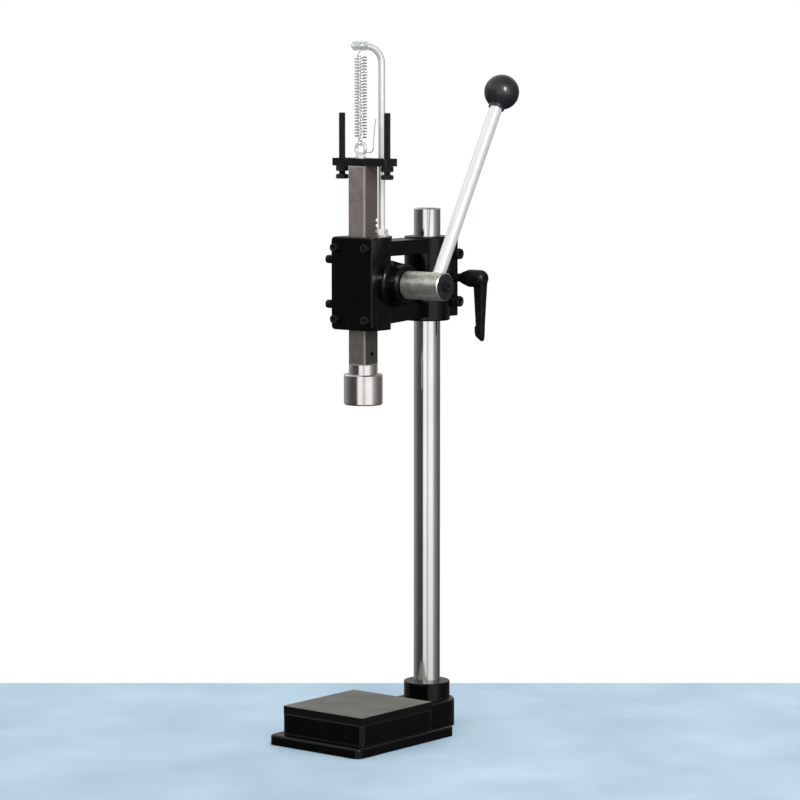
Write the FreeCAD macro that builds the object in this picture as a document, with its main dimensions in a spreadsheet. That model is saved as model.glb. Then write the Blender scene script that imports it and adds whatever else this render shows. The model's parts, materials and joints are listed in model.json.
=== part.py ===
"""Bench bottle capper: a rack-and-pinion lever press on a column that crimps crown caps.

Millimetres, +Z up. X points right seen from the front and Y to the rear.
The origin is where the ram's axis meets the surface that the base stands on.
"""
import FreeCAD, Part
import Sketcher
import math
import os
import re

V = FreeCAD.Vector

# Driving sizes: name, value, meaning
SIZES = [
    ("flange_width", 139.4, "base flange, left to right"),
    ("flange_front", 93.2, "base flange, ram axis to front edge"),
    ("flange_rear", 88.0, "base flange, ram axis to rear edge"),
    ("flange_thick", 12.0, "base flange thickness"),
    ("flange_corner", 9.0, "base flange corner radius"),
    ("flange_edge", 3.0, "rounding of the flange's upper rim"),
    ("block_step", 2.0, "cast block stands proud of the machined table"),
    ("block_top", 35.5, "height of the cast block"),
    ("block_corner", 7.5, "corner radius of the cast block"),
    ("block_edge", 1.2, "rounding of the block's upper rim"),
    ("table_width", 120.6, "machined table, left to right"),
    ("table_front", 75.4, "ram axis to the table's front edge"),
    ("table_rear", 53.2, "ram axis to the table's rear edge"),
    ("table_top", 45.0, "height of the machined table"),
    ("table_edge", 0.6, "chamfer round the table"),
    ("base_wall", 8.0, "wall left round the cored underside"),
    ("base_rib", 6.0, "rib thickness under the table"),
    ("core_corner", 6.0, "corner radius of each cored pocket"),
    ("column_back", 120.0, "ram axis to column axis"),
    ("column_radius", 16.0, "column radius"),
    ("column_length", 619.7, "column length"),
    ("column_floor", 8.0, "casting left under the column"),
    ("column_edge", 1.0, "chamfer at the column's ends"),
    ("column_fit", 0.04, "radial clearance on the column"),
    ("pedestal_radius", 33.5, "rear pedestal radius"),
    ("pedestal_top", 33.0, "rear pedestal height"),
    ("pedestal_edge", 3.0, "rounding of the pedestal's rim"),
    ("collar_radius", 27.9, "collar round the column foot"),
    ("collar_top", 54.0, "height of the collar"),
    ("collar_edge", 0.8, "chamfer of the collar"),
    ("set_radius", 4.0, "column set screw radius"),
    ("set_height", 20.0, "column set screw height"),
    ("set_length", 16.0, "column set screw length"),
    ("screw_fit", 0.03, "radial gap of a screw in its hole"),
    ("seat_gap", 0.02, "gap where a piece seats on another body"),
    ("head_middle", 544.0, "height of the ram housing's middle"),
    ("pinion_drop", 1.6, "pinion axis below the housing's middle"),
    ("head_width", 62.0, "ram housing, left to right"),
    ("head_height", 109.0, "ram housing height"),
    ("head_front", 12.5, "ram axis to the housing's front face"),
    ("head_rear", 20.0, "ram axis to the housing's rear face"),
    ("head_corner", 10.0, "rounding of the housing's rear corners"),
    ("head_edge", 1.5, "rounding of the cast rims"),
    ("cover_thick", 9.5, "front cover thickness"),
    ("cover_corner", 5.0, "corner radius of the front cover"),
    ("cover_edge", 1.2, "chamfer round the cover's face"),
    ("cover_pitch_x", 46.0, "cover screws, left to right"),
    ("cover_pitch_z", 84.0, "cover screws, up and down"),
    ("small_screw", 3.0, "M6 shank radius"),
    ("small_head", 5.0, "M6 socket head radius"),
    ("small_key", 5.0, "M6 hexagon key width"),
    ("small_nut", 10.0, "M6 nut across flats"),
    ("small_nut_thick", 5.0, "M6 nut thickness"),
    ("cover_screw_reach", 12.0, "thread of a cover screw in the casting"),
    ("big_screw", 4.0, "M8 shank radius"),
    ("big_head", 6.5, "M8 socket head radius"),
    ("big_key", 6.0, "M8 hexagon key width"),
    ("big_nut", 13.0, "M8 nut across flats"),
    ("big_nut_thick", 6.5, "M8 nut thickness"),
    ("ram_side", 25.0, "ram, square side"),
    ("ram_bottom", 448.2, "height of the ram's lower end"),
    ("ram_length", 232.8, "ram length"),
    ("ram_edge", 1.0, "chamfer along the ram"),
    ("ram_fit", 0.05, "gap between ram and channel walls"),
    ("gib_thick", 4.0, "gib plate thickness"),
    ("gib_screw_pitch", 53.0, "gib screws, up and down"),
    ("gib_screw_back", -4.0, "gib screws, ram axis to screw axis"),
    ("gib_screw_out", 20.0, "gib screw outer end beyond the housing"),
    ("gear_module", 2.0, "module of rack and pinion"),
    ("gear_teeth", 14, "pinion teeth"),
    ("gear_width", 24.0, "pinion face width"),
    ("gear_backlash", 0.3, "backlash at the pitch line"),
    ("gear_pressure", 20.0, "pressure angle of rack and pinion"),
    ("gear_root", 2.5, "pinion root below its pitch circle"),
    ("rack_addendum", 1.6, "rack tooth above its pitch line"),
    ("rack_dedendum", 2.6, "rack space below its pitch line"),
    ("rack_spaces", 16, "tooth spaces in the rack"),
    ("rack_below", 3, "tooth spaces below the pinion axis, ram up"),
    ("shaft_radius", 9.0, "pinion shaft journal radius"),
    ("shaft_end", 77.0, "right end of the pinion shaft"),
    ("bush_wall", 3.0, "left bush wall"),
    ("bush_sunk", 3.0, "right bush end inside the conical boss"),
    ("bush_fit", 0.03, "radial clearance in the bushes"),
    ("cavity_gap", 1.0, "room round the pinion"),
    ("barrel_radius", 27.5, "pinion barrel radius, and the conical boss's at its root"),
    ("cone_tip", 23.1, "conical boss radius at its end"),
    ("cone_length", 16.0, "conical boss end beyond the housing"),
    ("cone_flare", 4.0, "fillet between conical boss and housing"),
    ("hub_radius", 16.5, "lever hub radius"),
    ("hub_length", 56.0, "lever hub length"),
    ("hub_gap", 0.3, "running gap between boss and hub"),
    ("hub_edge", 1.0, "chamfer of the lever hub"),
    ("rod_from_end", 16.0, "hub end to lever rod axis"),
    ("rod_radius", 7.5, "lever rod radius"),
    ("rod_depth", 10.0, "lever rod end below the hub axis"),
    ("lever_reach", 257.5, "hub axis to knob centre"),
    ("lever_lean", 29.6, "lever lean to the rear at rest"),
    ("knob_radius", 20.8, "ball knob radius"),
    ("knob_neck", 9.5, "ball knob neck radius"),
    ("knob_foot", 21.8, "knob centre to the neck's end"),
    ("knob_hole", 2.0, "lever thread past the knob centre"),
    ("knob_screw", 4.0, "thread radius at the lever's end"),
    ("washer_radius", 13.0, "pinion end washer radius"),
    ("washer_thick", 2.5, "pinion end washer thickness"),
    ("end_screw_reach", 12.0, "thread of the pinion end screw in the shaft"),
    ("end_head_thick", 4.0, "head thickness of the hub and pinion end screws"),
    ("arm_width_front", 44.0, "arm width at the housing"),
    ("arm_width_rear", 36.0, "arm width at the column boss"),
    ("arm_top", 48.5, "upper face of the upper arm above the middle"),
    ("arm_upper", 17.5, "upper arm depth"),
    ("arm_lower", 21.0, "lower arm depth at the housing"),
    ("arm_rise", 4.5, "rise of the lower arm's underside to the rear"),
    ("boss_radius", 27.5, "column boss radius"),
    ("boss_height", 101.0, "column boss height"),
    ("ear_half", 22.0, "clamp ear outer face from the middle"),
    ("ear_back", 33.5, "column axis to the ears' rear face"),
    ("ear_height", 92.0, "clamp ear height"),
    ("ear_edge", 3.0, "rounding of the ears"),
    ("split_width", 4.0, "width of the clamping slot"),
    ("clamp_back", 27.0, "column axis to clamp screw axis"),
    ("clamp_pitch", 57.2, "clamp screws, up and down"),
    ("bell_bore", 14.3, "crimp throat radius"),
    ("bell_throat", 20.0, "depth of the crimp throat above the mouth"),
    ("bell_mouth", 18.5, "mouth radius of the bell"),
    ("bell_lead", 6.0, "height of the tapered mouth"),
    ("bell_radius", 23.0, "crimp bell radius"),
    ("bell_height", 36.1, "crimp bell height below its neck"),
    ("bell_neck", 17.0, "crimp bell neck radius"),
    ("bell_neck_height", 11.2, "crimp bell neck height"),
    ("bell_edge", 1.5, "outer chamfer of the bell"),
    ("bell_shank", 8.0, "bell shank radius in the ram"),
    ("bell_shank_length", 26.0, "bell shank length"),
    ("bell_set_height", 13.0, "bell set screw above the ram's end"),
    ("bell_set_out", 1.0, "bell set screw proud of the ram"),
    ("magnet_radius", 8.0, "cap magnet radius"),
    ("magnet_thick", 5.0, "cap magnet thickness"),
    ("bar_width", 82.0, "stop bar, left to right"),
    ("bar_back", 2.8, "ram axis to the stop bar's middle"),
    ("bar_depth", 22.0, "stop bar, front to rear"),
    ("bar_thick", 9.0, "stop bar thickness"),
    ("bar_edge", 1.0, "chamfer of the stop bar"),
    ("stop_pitch", 68.6, "stop bolts, left to right"),
    ("stop_head_thick", 5.5, "stop bolt head thickness"),
    ("stop_gap", 3.5, "stop bolt head below its jam nut"),
    ("stop_above", 53.0, "stop bolt thread above the bar"),
    ("eye_x", -2.2, "eye bolt, left or right of the ram axis"),
    ("eye_y", -1.5, "eye bolt, in front of or behind the ram axis"),
    ("eye_ring", 7.0, "eye bolt ring radius to the wire's middle"),
    ("eye_wire", 2.0, "eye bolt wire radius"),
    ("eye_foot", 6.6, "eye bolt foot radius"),
    ("eye_foot_thick", 2.0, "eye bolt foot thickness"),
    ("eye_shank", 18.0, "eye bolt thread below the bar's top"),
    ("tail_radius", 0.7, "wire tail radius"),
    ("tail_height", 46.0, "wire tail height above the bar"),
    ("tail_x", 14.0, "wire tail, right of the ram axis"),
    ("tail_lean", 5.2, "wire tail lean to the right"),
    ("spring_radius", 7.6, "return spring outer radius"),
    ("spring_hook_low", 2.0, "straight wire between the lower loop and the coils"),
    ("spring_hook_high", 6.5, "straight wire between the coils and the upper loop"),
    ("spring_wire", 1.4, "return spring wire"),
    ("spring_clearance", 0.3, "gap of the spring's loops round what they hang on"),
    ("post_x", 10.4, "spring rod foot, right of the ram axis"),
    ("post_y", 21.8, "spring rod foot, behind the ram axis"),
    ("post_radius", 4.0, "spring rod radius"),
    ("post_top", 820.5, "height of the spring rod's upper run"),
    ("post_bend", 20.5, "spring rod bend radius"),
    ("post_reach", 37.7, "foot to the spring rod's tip"),
    ("loop_room", 2.5, "room for the spring's loop each side, between the rod's nuts"),
    ("post_pad", 12.0, "cast pad radius under the spring rod"),
    ("post_pad_top", 54.6, "cast pad above the middle"),
    ("post_depth", 14.0, "spring rod thread in the pad"),
    ("post_washer", 1.6, "spring rod washer thickness"),
    ("post_washer_radius", 8.5, "spring rod washer radius"),
    ("handle_length", 75.0, "clamp handle, axis to tip"),
    ("handle_hub", 10.0, "clamp handle hub radius"),
    ("handle_neck", 6.5, "clamp handle radius at its inner end"),
    ("handle_hub_length", 36.0, "clamp handle hub length"),
    ("insert_radius", 5.0, "clamp insert flange radius"),
    ("insert_flange", 9.5, "clamp insert flange thickness"),
    ("insert_barrel", 4.6, "clamp insert toothed barrel radius"),
    ("insert_barrel_length", 12.0, "clamp insert toothed barrel length"),
    ("handle_fit", 0.3, "gap between handle and insert"),
    ("handle_lift", 4.0, "lift of the handle off its insert"),
    ("arm_breadth", 15.0, "clamp handle arm breadth at the hub"),
    ("arm_depth", 13.0, "clamp handle arm depth at the hub"),
    ("arm_tip_share", 0.68, "clamp handle arm tip size over hub size"),
    ("arm_inset", 0.3, "arm's outer face below the chamfer at the clamp handle's end"),
    ("handle_edge", 1.25, "chamfer at the clamp handle's end"),
    ("handle_screw", 2.5, "clamp handle screw radius"),
    ("handle_screw_head", 4.2, "clamp handle screw head radius"),
    ("handle_screw_thick", 3.0, "clamp handle screw head thickness"),
    ("handle_screw_sunk", 2.0, "clamp handle screw head below the hub's end"),
    ("handle_screw_reach", 8.0, "clamp handle screw thread in the insert"),
    ("handle_spring_room", 10.0, "length of the clamp handle's spring"),
    ("handle_spring_wall", 0.9, "wire thickness of the clamp handle's spring"),
]
VALUES = {name: value for name, value, meaning in SIZES}
WORD = re.compile(r"[a-z][a-z_]+")

doc = FreeCAD.newDocument("bottle_capper")
sheet = doc.addObject("Spreadsheet::Sheet", "Sizes")
for row, (name, value, meaning) in enumerate(SIZES, 1):
    sheet.set("A%d" % row, name)
    sheet.set("B%d" % row, str(value))
    sheet.set("C%d" % row, meaning)
    sheet.setAlias("B%d" % row, name)
probe = doc.addObject("App::FeaturePython", "Probe")
doc.recompute()

FACING = {
    "up": FreeCAD.Rotation(),
    "down": FreeCAD.Rotation(V(1, 0, 0), 180),
    "right": FreeCAD.Rotation(V(0, 1, 0), 90),
    "left": FreeCAD.Rotation(V(0, 1, 0), -90),
    "front": FreeCAD.Rotation(V(1, 0, 0), 90),
    "rear": FreeCAD.Rotation(V(1, 0, 0), -90),
}
# Lengths that follow from the driving sizes, written once
HEAD_LOW = "(head_middle - head_height / 2)"
HEAD_TOP = "(head_middle + head_height / 2)"
RAM_TOP = "(ram_bottom + ram_length)"
BAR_TOP = "(ram_bottom + ram_length + bar_thick)"
PITCH_RADIUS = "(gear_module * gear_teeth / 2)"
PINION_Y = "(ram_side / 2 - rack_addendum + gear_module * gear_teeth / 2)"
PINION_Z = "(head_middle - pinion_drop)"
BUSH_LEFT_OUT = "(shaft_radius + bush_fit + bush_wall)"
BUSH_RIGHT_OUT = "(gear_module * (gear_teeth / 2 + 1) + cavity_gap)"
CAVITY_HALF = "(gear_width / 2 + cavity_gap)"
CONE_START = "(head_width / 2 - head_corner)"
BOSS_END = "(head_width / 2 + cone_length)"
HUB_START = "(head_width / 2 + cone_length + hub_gap)"
HUB_END = "(head_width / 2 + cone_length + hub_gap + hub_length)"
ROD_X = "(head_width / 2 + cone_length + hub_gap + hub_length - rod_from_end)"
CLAMP_Y = "(column_back + clamp_back)"
HANDLE_X = "(ear_half + insert_flange)"
SCREW_SEAT = "(handle_hub_length - handle_screw_sunk - handle_screw_thick)"
BLOCK_HALF = "(table_width / 2 + block_step)"
EYE_MIDDLE = "(ram_bottom + ram_length + bar_thick + eye_foot_thick + eye_ring + eye_wire)"
LOW_LOOP = "(eye_wire + spring_clearance + spring_wire / 2)"
HIGH_LOOP = "(post_radius + spring_clearance + spring_wire / 2)"
SPRING_LOW = "(%s + eye_ring + %s + spring_hook_low)" % (EYE_MIDDLE, LOW_LOOP)
SPRING_HIGH = "(post_top - %s - spring_hook_high)" % HIGH_LOOP
HEAD_BREAK = "small_screw / 8"
# How near two places count as equal, and the least change in volume that counts, in mm and mm3
NEAR = 1e-3
OVER = 1


def linked(text):
    """Turn plain size names in an expression into references to the sheet."""
    return WORD.sub(lambda m: "Sizes." + m.group(0) if m.group(0) in VALUES else m.group(0), text)


def number(text):
    found = probe.evalExpression(linked(text))
    return float(getattr(found, "Value", found))


def bind(thing, **formulas):
    for prop, text in formulas.items():
        thing.setExpression(prop, linked(text))
    return thing


def place(thing, at, facing="up"):
    thing.Placement = FreeCAD.Placement(V(), FACING[facing])
    for axis, text in zip("xyz", at):
        thing.setExpression("Placement.Base." + axis, linked(text))
    return thing


def new_body(label):
    body = doc.addObject("PartDesign::Body", label)
    body.Label = label
    return body


def rectangle(x_low, x_high, y_low, y_high):
    return [(x_low, y_low), (x_high, y_low), (x_high, y_high), (x_low, y_high)]


def hexagon(flats):
    corner = "%s / sqrt(3)" % flats
    return [("%s * cos(%d)" % (corner, turn), "%s * sin(%d)" % (corner, turn))
            for turn in range(30, 390, 60)]


def pin(sketch, curve, point, x, y):
    for kind, text in (("DistanceX", x), ("DistanceY", y)):
        place_at = sketch.addConstraint(Sketcher.Constraint(kind, -1, 1, curve, point, number(text)))
        sketch.setExpression("Constraints[%d]" % place_at, linked(text))


def new_sketch(body, plane, level):
    sketch = body.newObject("Sketcher::SketchObject", body.Name + "_sketch")
    support = [part for part in body.Origin.OriginFeatures if part.Role == plane + "_Plane"]
    sketch.AttachmentSupport = [(support[0], "")]
    sketch.MapMode = "FlatFace"
    sketch.setExpression("AttachmentOffset.Base.z", linked(level))
    return sketch


def draw(body, plane, loops, level="0"):
    """Sketch closed loops: a list of points, or (x, y, radius) for a circle."""
    sketch = new_sketch(body, plane, level)
    for loop in loops:
        if isinstance(loop, tuple):
            x, y, radius = loop
            circle = sketch.addGeometry(Part.Circle(V(number(x), number(y), 0), V(0, 0, 1), number(radius)))
            pin(sketch, circle, 3, x, y)
            size = sketch.addConstraint(Sketcher.Constraint("Radius", circle, number(radius)))
            sketch.setExpression("Constraints[%d]" % size, linked(radius))
            continue
        corners = [V(number(x), number(y), 0) for x, y in loop]
        lines = [sketch.addGeometry(Part.LineSegment(a, b))
                 for a, b in zip(corners, corners[1:] + corners[:1])]
        for line, following in zip(lines, lines[1:] + lines[:1]):
            sketch.addConstraint(Sketcher.Constraint("Coincident", line, 2, following, 1))
        for line, (x, y) in zip(lines, loop):
            pin(sketch, line, 1, x, y)
    return sketch


def add_feature(body, kind, sketch, grows, **formulas):
    """Add a sketch-based feature and make sure that it adds or removes material."""
    before = body.Tip.Shape.Volume if body.Tip and body.Tip is not sketch else 0.0
    feature = body.newObject("PartDesign::" + kind, body.Name + "_" + kind.lower())
    feature.Profile = sketch
    feature.Refine = True
    bind(feature, **formulas)
    return feature, before, grows


def settle(feature, before, grows):
    doc.recompute()
    after = feature.Shape.Volume
    if (after > before) != grows:
        raise RuntimeError("%s changed nothing" % feature.Name)
    return feature


def pad(body, plane, loops, level, length):
    """Raise loops from a level, along the plane's normal: up, right, or to the front."""
    feature, before, grows = add_feature(body, "Pad", draw(body, plane, loops, level), True, Length=length)
    return settle(feature, before, grows)


def pocket(body, plane, loops, level, length, along=False):
    """Cut loops from a level against the plane's normal, or along it."""
    feature, before, grows = add_feature(body, "Pocket", draw(body, plane, loops, level), False,
                                         Length=length)
    feature.Reversed = along
    return settle(feature, before, grows)


def revolve(body, loop, kind="Revolution"):
    """Turn a profile of (radius, height) points about the body's own Z axis."""
    sketch = draw(body, "XZ", [loop])
    feature, before, grows = add_feature(body, kind, sketch, kind == "Revolution")
    feature.ReferenceAxis = (sketch, ["V_Axis"])
    feature.Angle = 360
    return settle(feature, before, grows)


def turned(label, profile, at=("0", "0", "0"), facing="up"):
    body = new_body(label)
    revolve(body, profile)
    return place(body, at, facing)


def straight(edge):
    return isinstance(edge.Curve, (Part.Line, Part.LineSegment))


def middle(edge):
    return edge.valueAt((edge.FirstParameter + edge.LastParameter) / 2)


def upright(edge):
    """A straight edge along Z."""
    return straight(edge) and abs(edge.tangentAt(edge.FirstParameter).z) > 0.999


def level_at(edge, height):
    """Every point of the edge lies at the height."""
    box = edge.BoundBox
    return abs(box.ZMin - height) < NEAR and abs(box.ZMax - height) < NEAR


def at_boss_root(edge):
    """An edge where the conical boss leaves the housing's right side and its rounded corner."""
    centre = middle(edge)
    away = math.hypot(centre.y - number(PINION_Y), centre.z - number(PINION_Z))
    return (number("cone_tip") < away < number("barrel_radius") and centre.y < number("head_rear") - NEAR
            and number(CONE_START) < centre.x < number("head_width / 2") + NEAR)


def soften(body, kind, wanted, size):
    """Fillet or chamfer the tip's edges that pass the test."""
    tip = body.Tip
    names = ["Edge%d" % (n + 1) for n, edge in enumerate(tip.Shape.Edges) if wanted(edge)]
    if not names:
        raise RuntimeError("%s has no such edge" % body.Label)
    feature = body.newObject("PartDesign::" + kind, body.Name + "_" + kind.lower())
    feature.Base = (tip, names)
    feature.Refine = True
    bind(feature, **{"Radius" if kind == "Fillet" else "Size": size})
    doc.recompute()
    return feature


def group(label, members):
    bundle = doc.addObject("Part::Compound", label)
    bundle.Label = label
    bundle.Links = members
    return bundle


def socket_screw(label, at, facing, shank, head, thick, length, key):
    """Cap screw: its origin is under the head, and the head faces outward."""
    body = new_body(label)
    revolve(body, [("0", "-(%s)" % length), (shank, "-(%s)" % length), (shank, "0"), (head, "0"),
                   (head, "%s - %s" % (thick, HEAD_BREAK)), ("%s - %s" % (head, HEAD_BREAK), thick),
                   ("0", thick)])
    pocket(body, "XY", [hexagon(key)], thick, "%s / 2" % thick)
    return place(body, at, facing)


def nut(label, at, facing, flats, bore, thick):
    body = new_body(label)
    pad(body, "XY", [hexagon(flats), ("0", "0", bore)], "0", thick)
    return place(body, at, facing)


def make_base():
    body = new_body("base_casting")
    half = "flange_width / 2"
    pad(body, "XY", [rectangle("-" + half, half, "-flange_front", "flange_rear")], "0", "flange_thick")
    soften(body, "Fillet", upright, "flange_corner")
    rim = number("flange_thick")
    soften(body, "Fillet", lambda edge: level_at(edge, rim), "flange_edge")

    front, rear = "-(table_front + block_step)", "(table_rear + block_step)"
    pad(body, "XY", [rectangle("-" + BLOCK_HALF, BLOCK_HALF, front, rear)], "0", "block_top")
    side, rim = number(BLOCK_HALF), number("block_top")
    soften(body, "Fillet", lambda edge: upright(edge) and abs(abs(middle(edge).x) - side) < NEAR
           and edge.BoundBox.ZMax > rim - NEAR, "block_corner")
    soften(body, "Fillet", lambda edge: level_at(edge, rim), "block_edge")

    half = "table_width / 2"
    pad(body, "XY", [rectangle("-" + half, half, "-table_front", "table_rear")],
        "block_top - block_step", "table_top - block_top + block_step")
    top = number("table_top")
    soften(body, "Chamfer", lambda edge: level_at(edge, top), "table_edge")

    neck = rectangle("-pedestal_radius", "pedestal_radius", "table_rear", "column_back")
    pad(body, "XY", [neck], "0", "pedestal_top")
    pad(body, "XY", [("0", "column_back", "pedestal_radius")], "0", "pedestal_top")
    rim, behind = number("pedestal_top"), number(rear) + OVER
    soften(body, "Fillet", lambda edge: level_at(edge, rim) and middle(edge).y > behind, "pedestal_edge")
    pad(body, "XY", [("0", "column_back", "collar_radius")],
"pedestal_top - pedestal_edge", "collar_top - pedestal_top + pedestal_edge")
    rim = number("collar_top")
    soften(body, "Chamfer", lambda edge: level_at(edge, rim), "collar_edge")
    pocket(body, "XY", [("0", "column_back", "column_radius + column_fit")], "collar_top",
           "collar_top - column_floor")

    across = "base_rib / 2"
    near = "-(table_front + block_step - base_wall)"
    far = "(table_rear + block_step - base_wall)"
    reach = "(%s - base_wall)" % BLOCK_HALF
    cores = [rectangle(across, reach, across, far), rectangle("-" + reach, "-" + across, across, far),
             rectangle(across, reach, near, "-" + across),
             rectangle("-" + reach, "-" + across, near, "-" + across)]
    pocket(body, "XY", cores, "0", "table_top - base_wall", along=True)
    roof = number("table_top - base_wall")
    soften(body, "Fillet", lambda edge: upright(edge) and abs(edge.BoundBox.ZMax - roof) < NEAR
           and abs(edge.BoundBox.ZMin) < NEAR, "core_corner")
    pocket(body, "XZ", [("0", "set_height", "set_radius + screw_fit")],
           "-(column_back + pedestal_radius + set_radius)", "pedestal_radius + set_radius", along=True)
    return body


def make_column():
    return turned("column",
                  [("0", "0"), ("column_radius - column_edge", "0"), ("column_radius", "column_edge"),
                             ("column_radius", "column_length - column_edge"),
                             ("column_radius - column_edge", "column_length"), ("0", "column_length")],
                  ("0", "column_back", "column_floor"))


def make_column_screw():
    """Set screw in the rear of the pedestal, its point against the column."""
    screw = turned("column_set_screw",
                   [("0", "0"), ("set_radius * 3 / 4", "0"), ("set_radius", "set_radius / 4"),
                                        ("set_radius", "set_length"), ("0", "set_length")],
                   ("0", "column_back + column_radius + seat_gap", "set_height"), "rear")
    pocket(screw, "XY", [hexagon("set_radius")], "set_length", "set_radius")
    return screw


def make_head():
    body = new_body("head_casting")
    half = "head_width / 2"
    pad(body, "XY", [rectangle("-" + half, half, "-head_front", "head_rear")], HEAD_LOW, "head_height")
    rear, front = number("head_rear"), -number("head_front")
    low, high = number(HEAD_LOW), number(HEAD_TOP)
    soften(body, "Fillet", lambda edge: upright(edge) and abs(middle(edge).y - rear) < NEAR, "head_corner")
    soften(body, "Fillet", lambda edge: (level_at(edge, low) or level_at(edge, high))
           and middle(edge).y > front + NEAR, "head_edge")

    plan = [("-arm_width_front / 2", "head_rear - head_corner"),
            ("arm_width_front / 2", "head_rear - head_corner"),
            ("arm_width_rear / 2", "column_back"), ("-arm_width_rear / 2", "column_back")]
    pad(body, "XY", [plan], "head_middle + arm_top - arm_upper", "arm_upper")
    pad(body, "XY", [plan], "head_middle - arm_top", "arm_lower")
    wedge = [("head_rear", "head_middle - arm_top - arm_rise"),
             ("column_back", "head_middle - arm_top - arm_rise"),
             ("column_back", "head_middle - arm_top + arm_rise"), ("head_rear", "head_middle - arm_top")]
    pocket(body, "YZ", [wedge], half, "head_width")

    pad(body, "XY", [("0", "column_back", "boss_radius")], "head_middle - boss_height / 2", "boss_height")
    boss_low, boss_high = number("head_middle - boss_height / 2"), number("head_middle + boss_height / 2")
    soften(body, "Fillet", lambda edge: level_at(edge, boss_low) or level_at(edge, boss_high), "head_edge")
    pad(body, "XY", [rectangle("-ear_half", "ear_half", "column_back", "column_back + ear_back")],
        "head_middle - ear_height / 2", "ear_height")
    back = number("column_back + ear_back")
    soften(body, "Fillet", lambda edge: upright(edge) and abs(middle(edge).y - back) < NEAR, "ear_edge")

    pad(body, "YZ", [(PINION_Y, PINION_Z, "barrel_radius")], "-" + half, "%s + %s" % (half, CONE_START))
    cone = body.newObject("PartDesign::AdditiveLoft", "pinion_boss")
    cone.Profile = draw(body, "YZ", [(PINION_Y, PINION_Z, "barrel_radius")], CONE_START)
    cone.Sections = [draw(body, "YZ", [(PINION_Y, PINION_Z, "cone_tip")], BOSS_END)]
    cone.Refine = True
    doc.recompute()
    rim = number(BOSS_END)
    soften(body, "Fillet", lambda edge: abs(edge.BoundBox.XMin - rim) < NEAR, "head_edge")
    soften(body, "Fillet", at_boss_root, "cone_flare")
    pad(body, "XY", [("post_x", "post_y", "post_pad")], "head_middle + arm_top - arm_upper / 2",
        "post_pad_top - arm_top + arm_upper / 2")

    wall = "(ram_side / 2 + ram_fit)"
    channel = rectangle("-(ram_side / 2 + ram_fit + gib_thick)", wall, "-head_front - ram_side", wall)
    pocket(body, "XY", [channel], HEAD_TOP + " + post_pad_top", "2 * head_height")
    for radius, start, length in ((BUSH_RIGHT_OUT, CAVITY_HALF, "2 * " + CAVITY_HALF),
                                  (BUSH_LEFT_OUT, "-" + CAVITY_HALF, "head_width"),
                                  (BUSH_RIGHT_OUT, BOSS_END, BOSS_END)):
        pocket(body, "YZ", [(PINION_Y, PINION_Z, radius)], start, length)
    pocket(body, "XY", [("0", "column_back", "column_radius + column_fit")],
           "head_middle + boss_height", "2 * boss_height")
    pocket(body, "XY",
           [rectangle("-split_width / 2", "split_width / 2", "column_back", "column_back + 2 * ear_back")],
           "head_middle + boss_height", "2 * boss_height")
    hole = "big_screw + screw_fit"
    clamps = [(CLAMP_Y, "head_middle + %s * clamp_pitch / 2" % sign, hole) for sign in ("1", "-1", "0")]
    pocket(body, "YZ", clamps, "2 * ear_half", "4 * ear_half")
    gib = [("gib_screw_back", "head_middle + %s * gib_screw_pitch / 2" % sign, "small_screw + screw_fit")
           for sign in ("1", "-1")]
    pocket(body, "YZ", gib, "-ram_side / 2", "head_width")
    taps = [("%s * cover_pitch_x / 2" % i, "head_middle + %s * cover_pitch_z / 2" % k,
             "small_screw + screw_fit")
            for i in ("1", "-1") for k in ("1", "-1")]
    pocket(body, "XZ", taps, "head_front", "cover_screw_reach + small_screw / 2")
    pocket(body, "XY", [("post_x", "post_y", "post_radius + screw_fit")], "head_middle + post_pad_top",
           "post_depth + post_radius / 4")
    return body


def make_cover():
    body = new_body("front_cover")
    half, tall = "head_width / 2", "head_height / 2"
    plate = rectangle("-" + half, half, "head_middle - " + tall, "head_middle + " + tall)
    pad(body, "XZ", [plate], "head_front", "cover_thick")
    soften(body, "Fillet", lambda edge: straight(edge) and abs(edge.tangentAt(0).y) > 0.999, "cover_corner")
    face = -number("head_front + cover_thick")
    soften(body, "Chamfer", lambda edge: abs(edge.BoundBox.YMin - face) < NEAR
           and abs(edge.BoundBox.YMax - face) < NEAR, "cover_edge")
    holes = [("%s * cover_pitch_x / 2" % i, "head_middle + %s * cover_pitch_z / 2" % k,
              "small_screw + screw_fit")
             for i in ("1", "-1") for k in ("1", "-1")]
    pocket(body, "XZ", holes, "head_front + cover_thick", "2 * cover_thick")
    return body


def make_cover_screws():
    return group("cover_screws", [
        socket_screw("cover_screw_%s%s" % (side, end),
                     ("%s * cover_pitch_x / 2" % i, "-(head_front + cover_thick)",
                      "head_middle + %s * cover_pitch_z / 2" % k),
                     "front", "small_screw", "small_head", "2 * small_screw",
                     "cover_thick + cover_screw_reach", "small_key")
        for side, i in (("right", "1"), ("left", "-1")) for end, k in (("upper", "1"), ("lower", "-1"))])


def make_gib():
    body = new_body("gib_plate")
    reach = "(head_height / 2 - head_edge)"
    edge = "(ram_side / 2 + ram_fit)"
    pad(body, "XY", [rectangle("-(%s + gib_thick)" % edge, "-" + edge, "-head_front", edge)],
        "head_middle - " + reach, "2 * " + reach)
    return body


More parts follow.
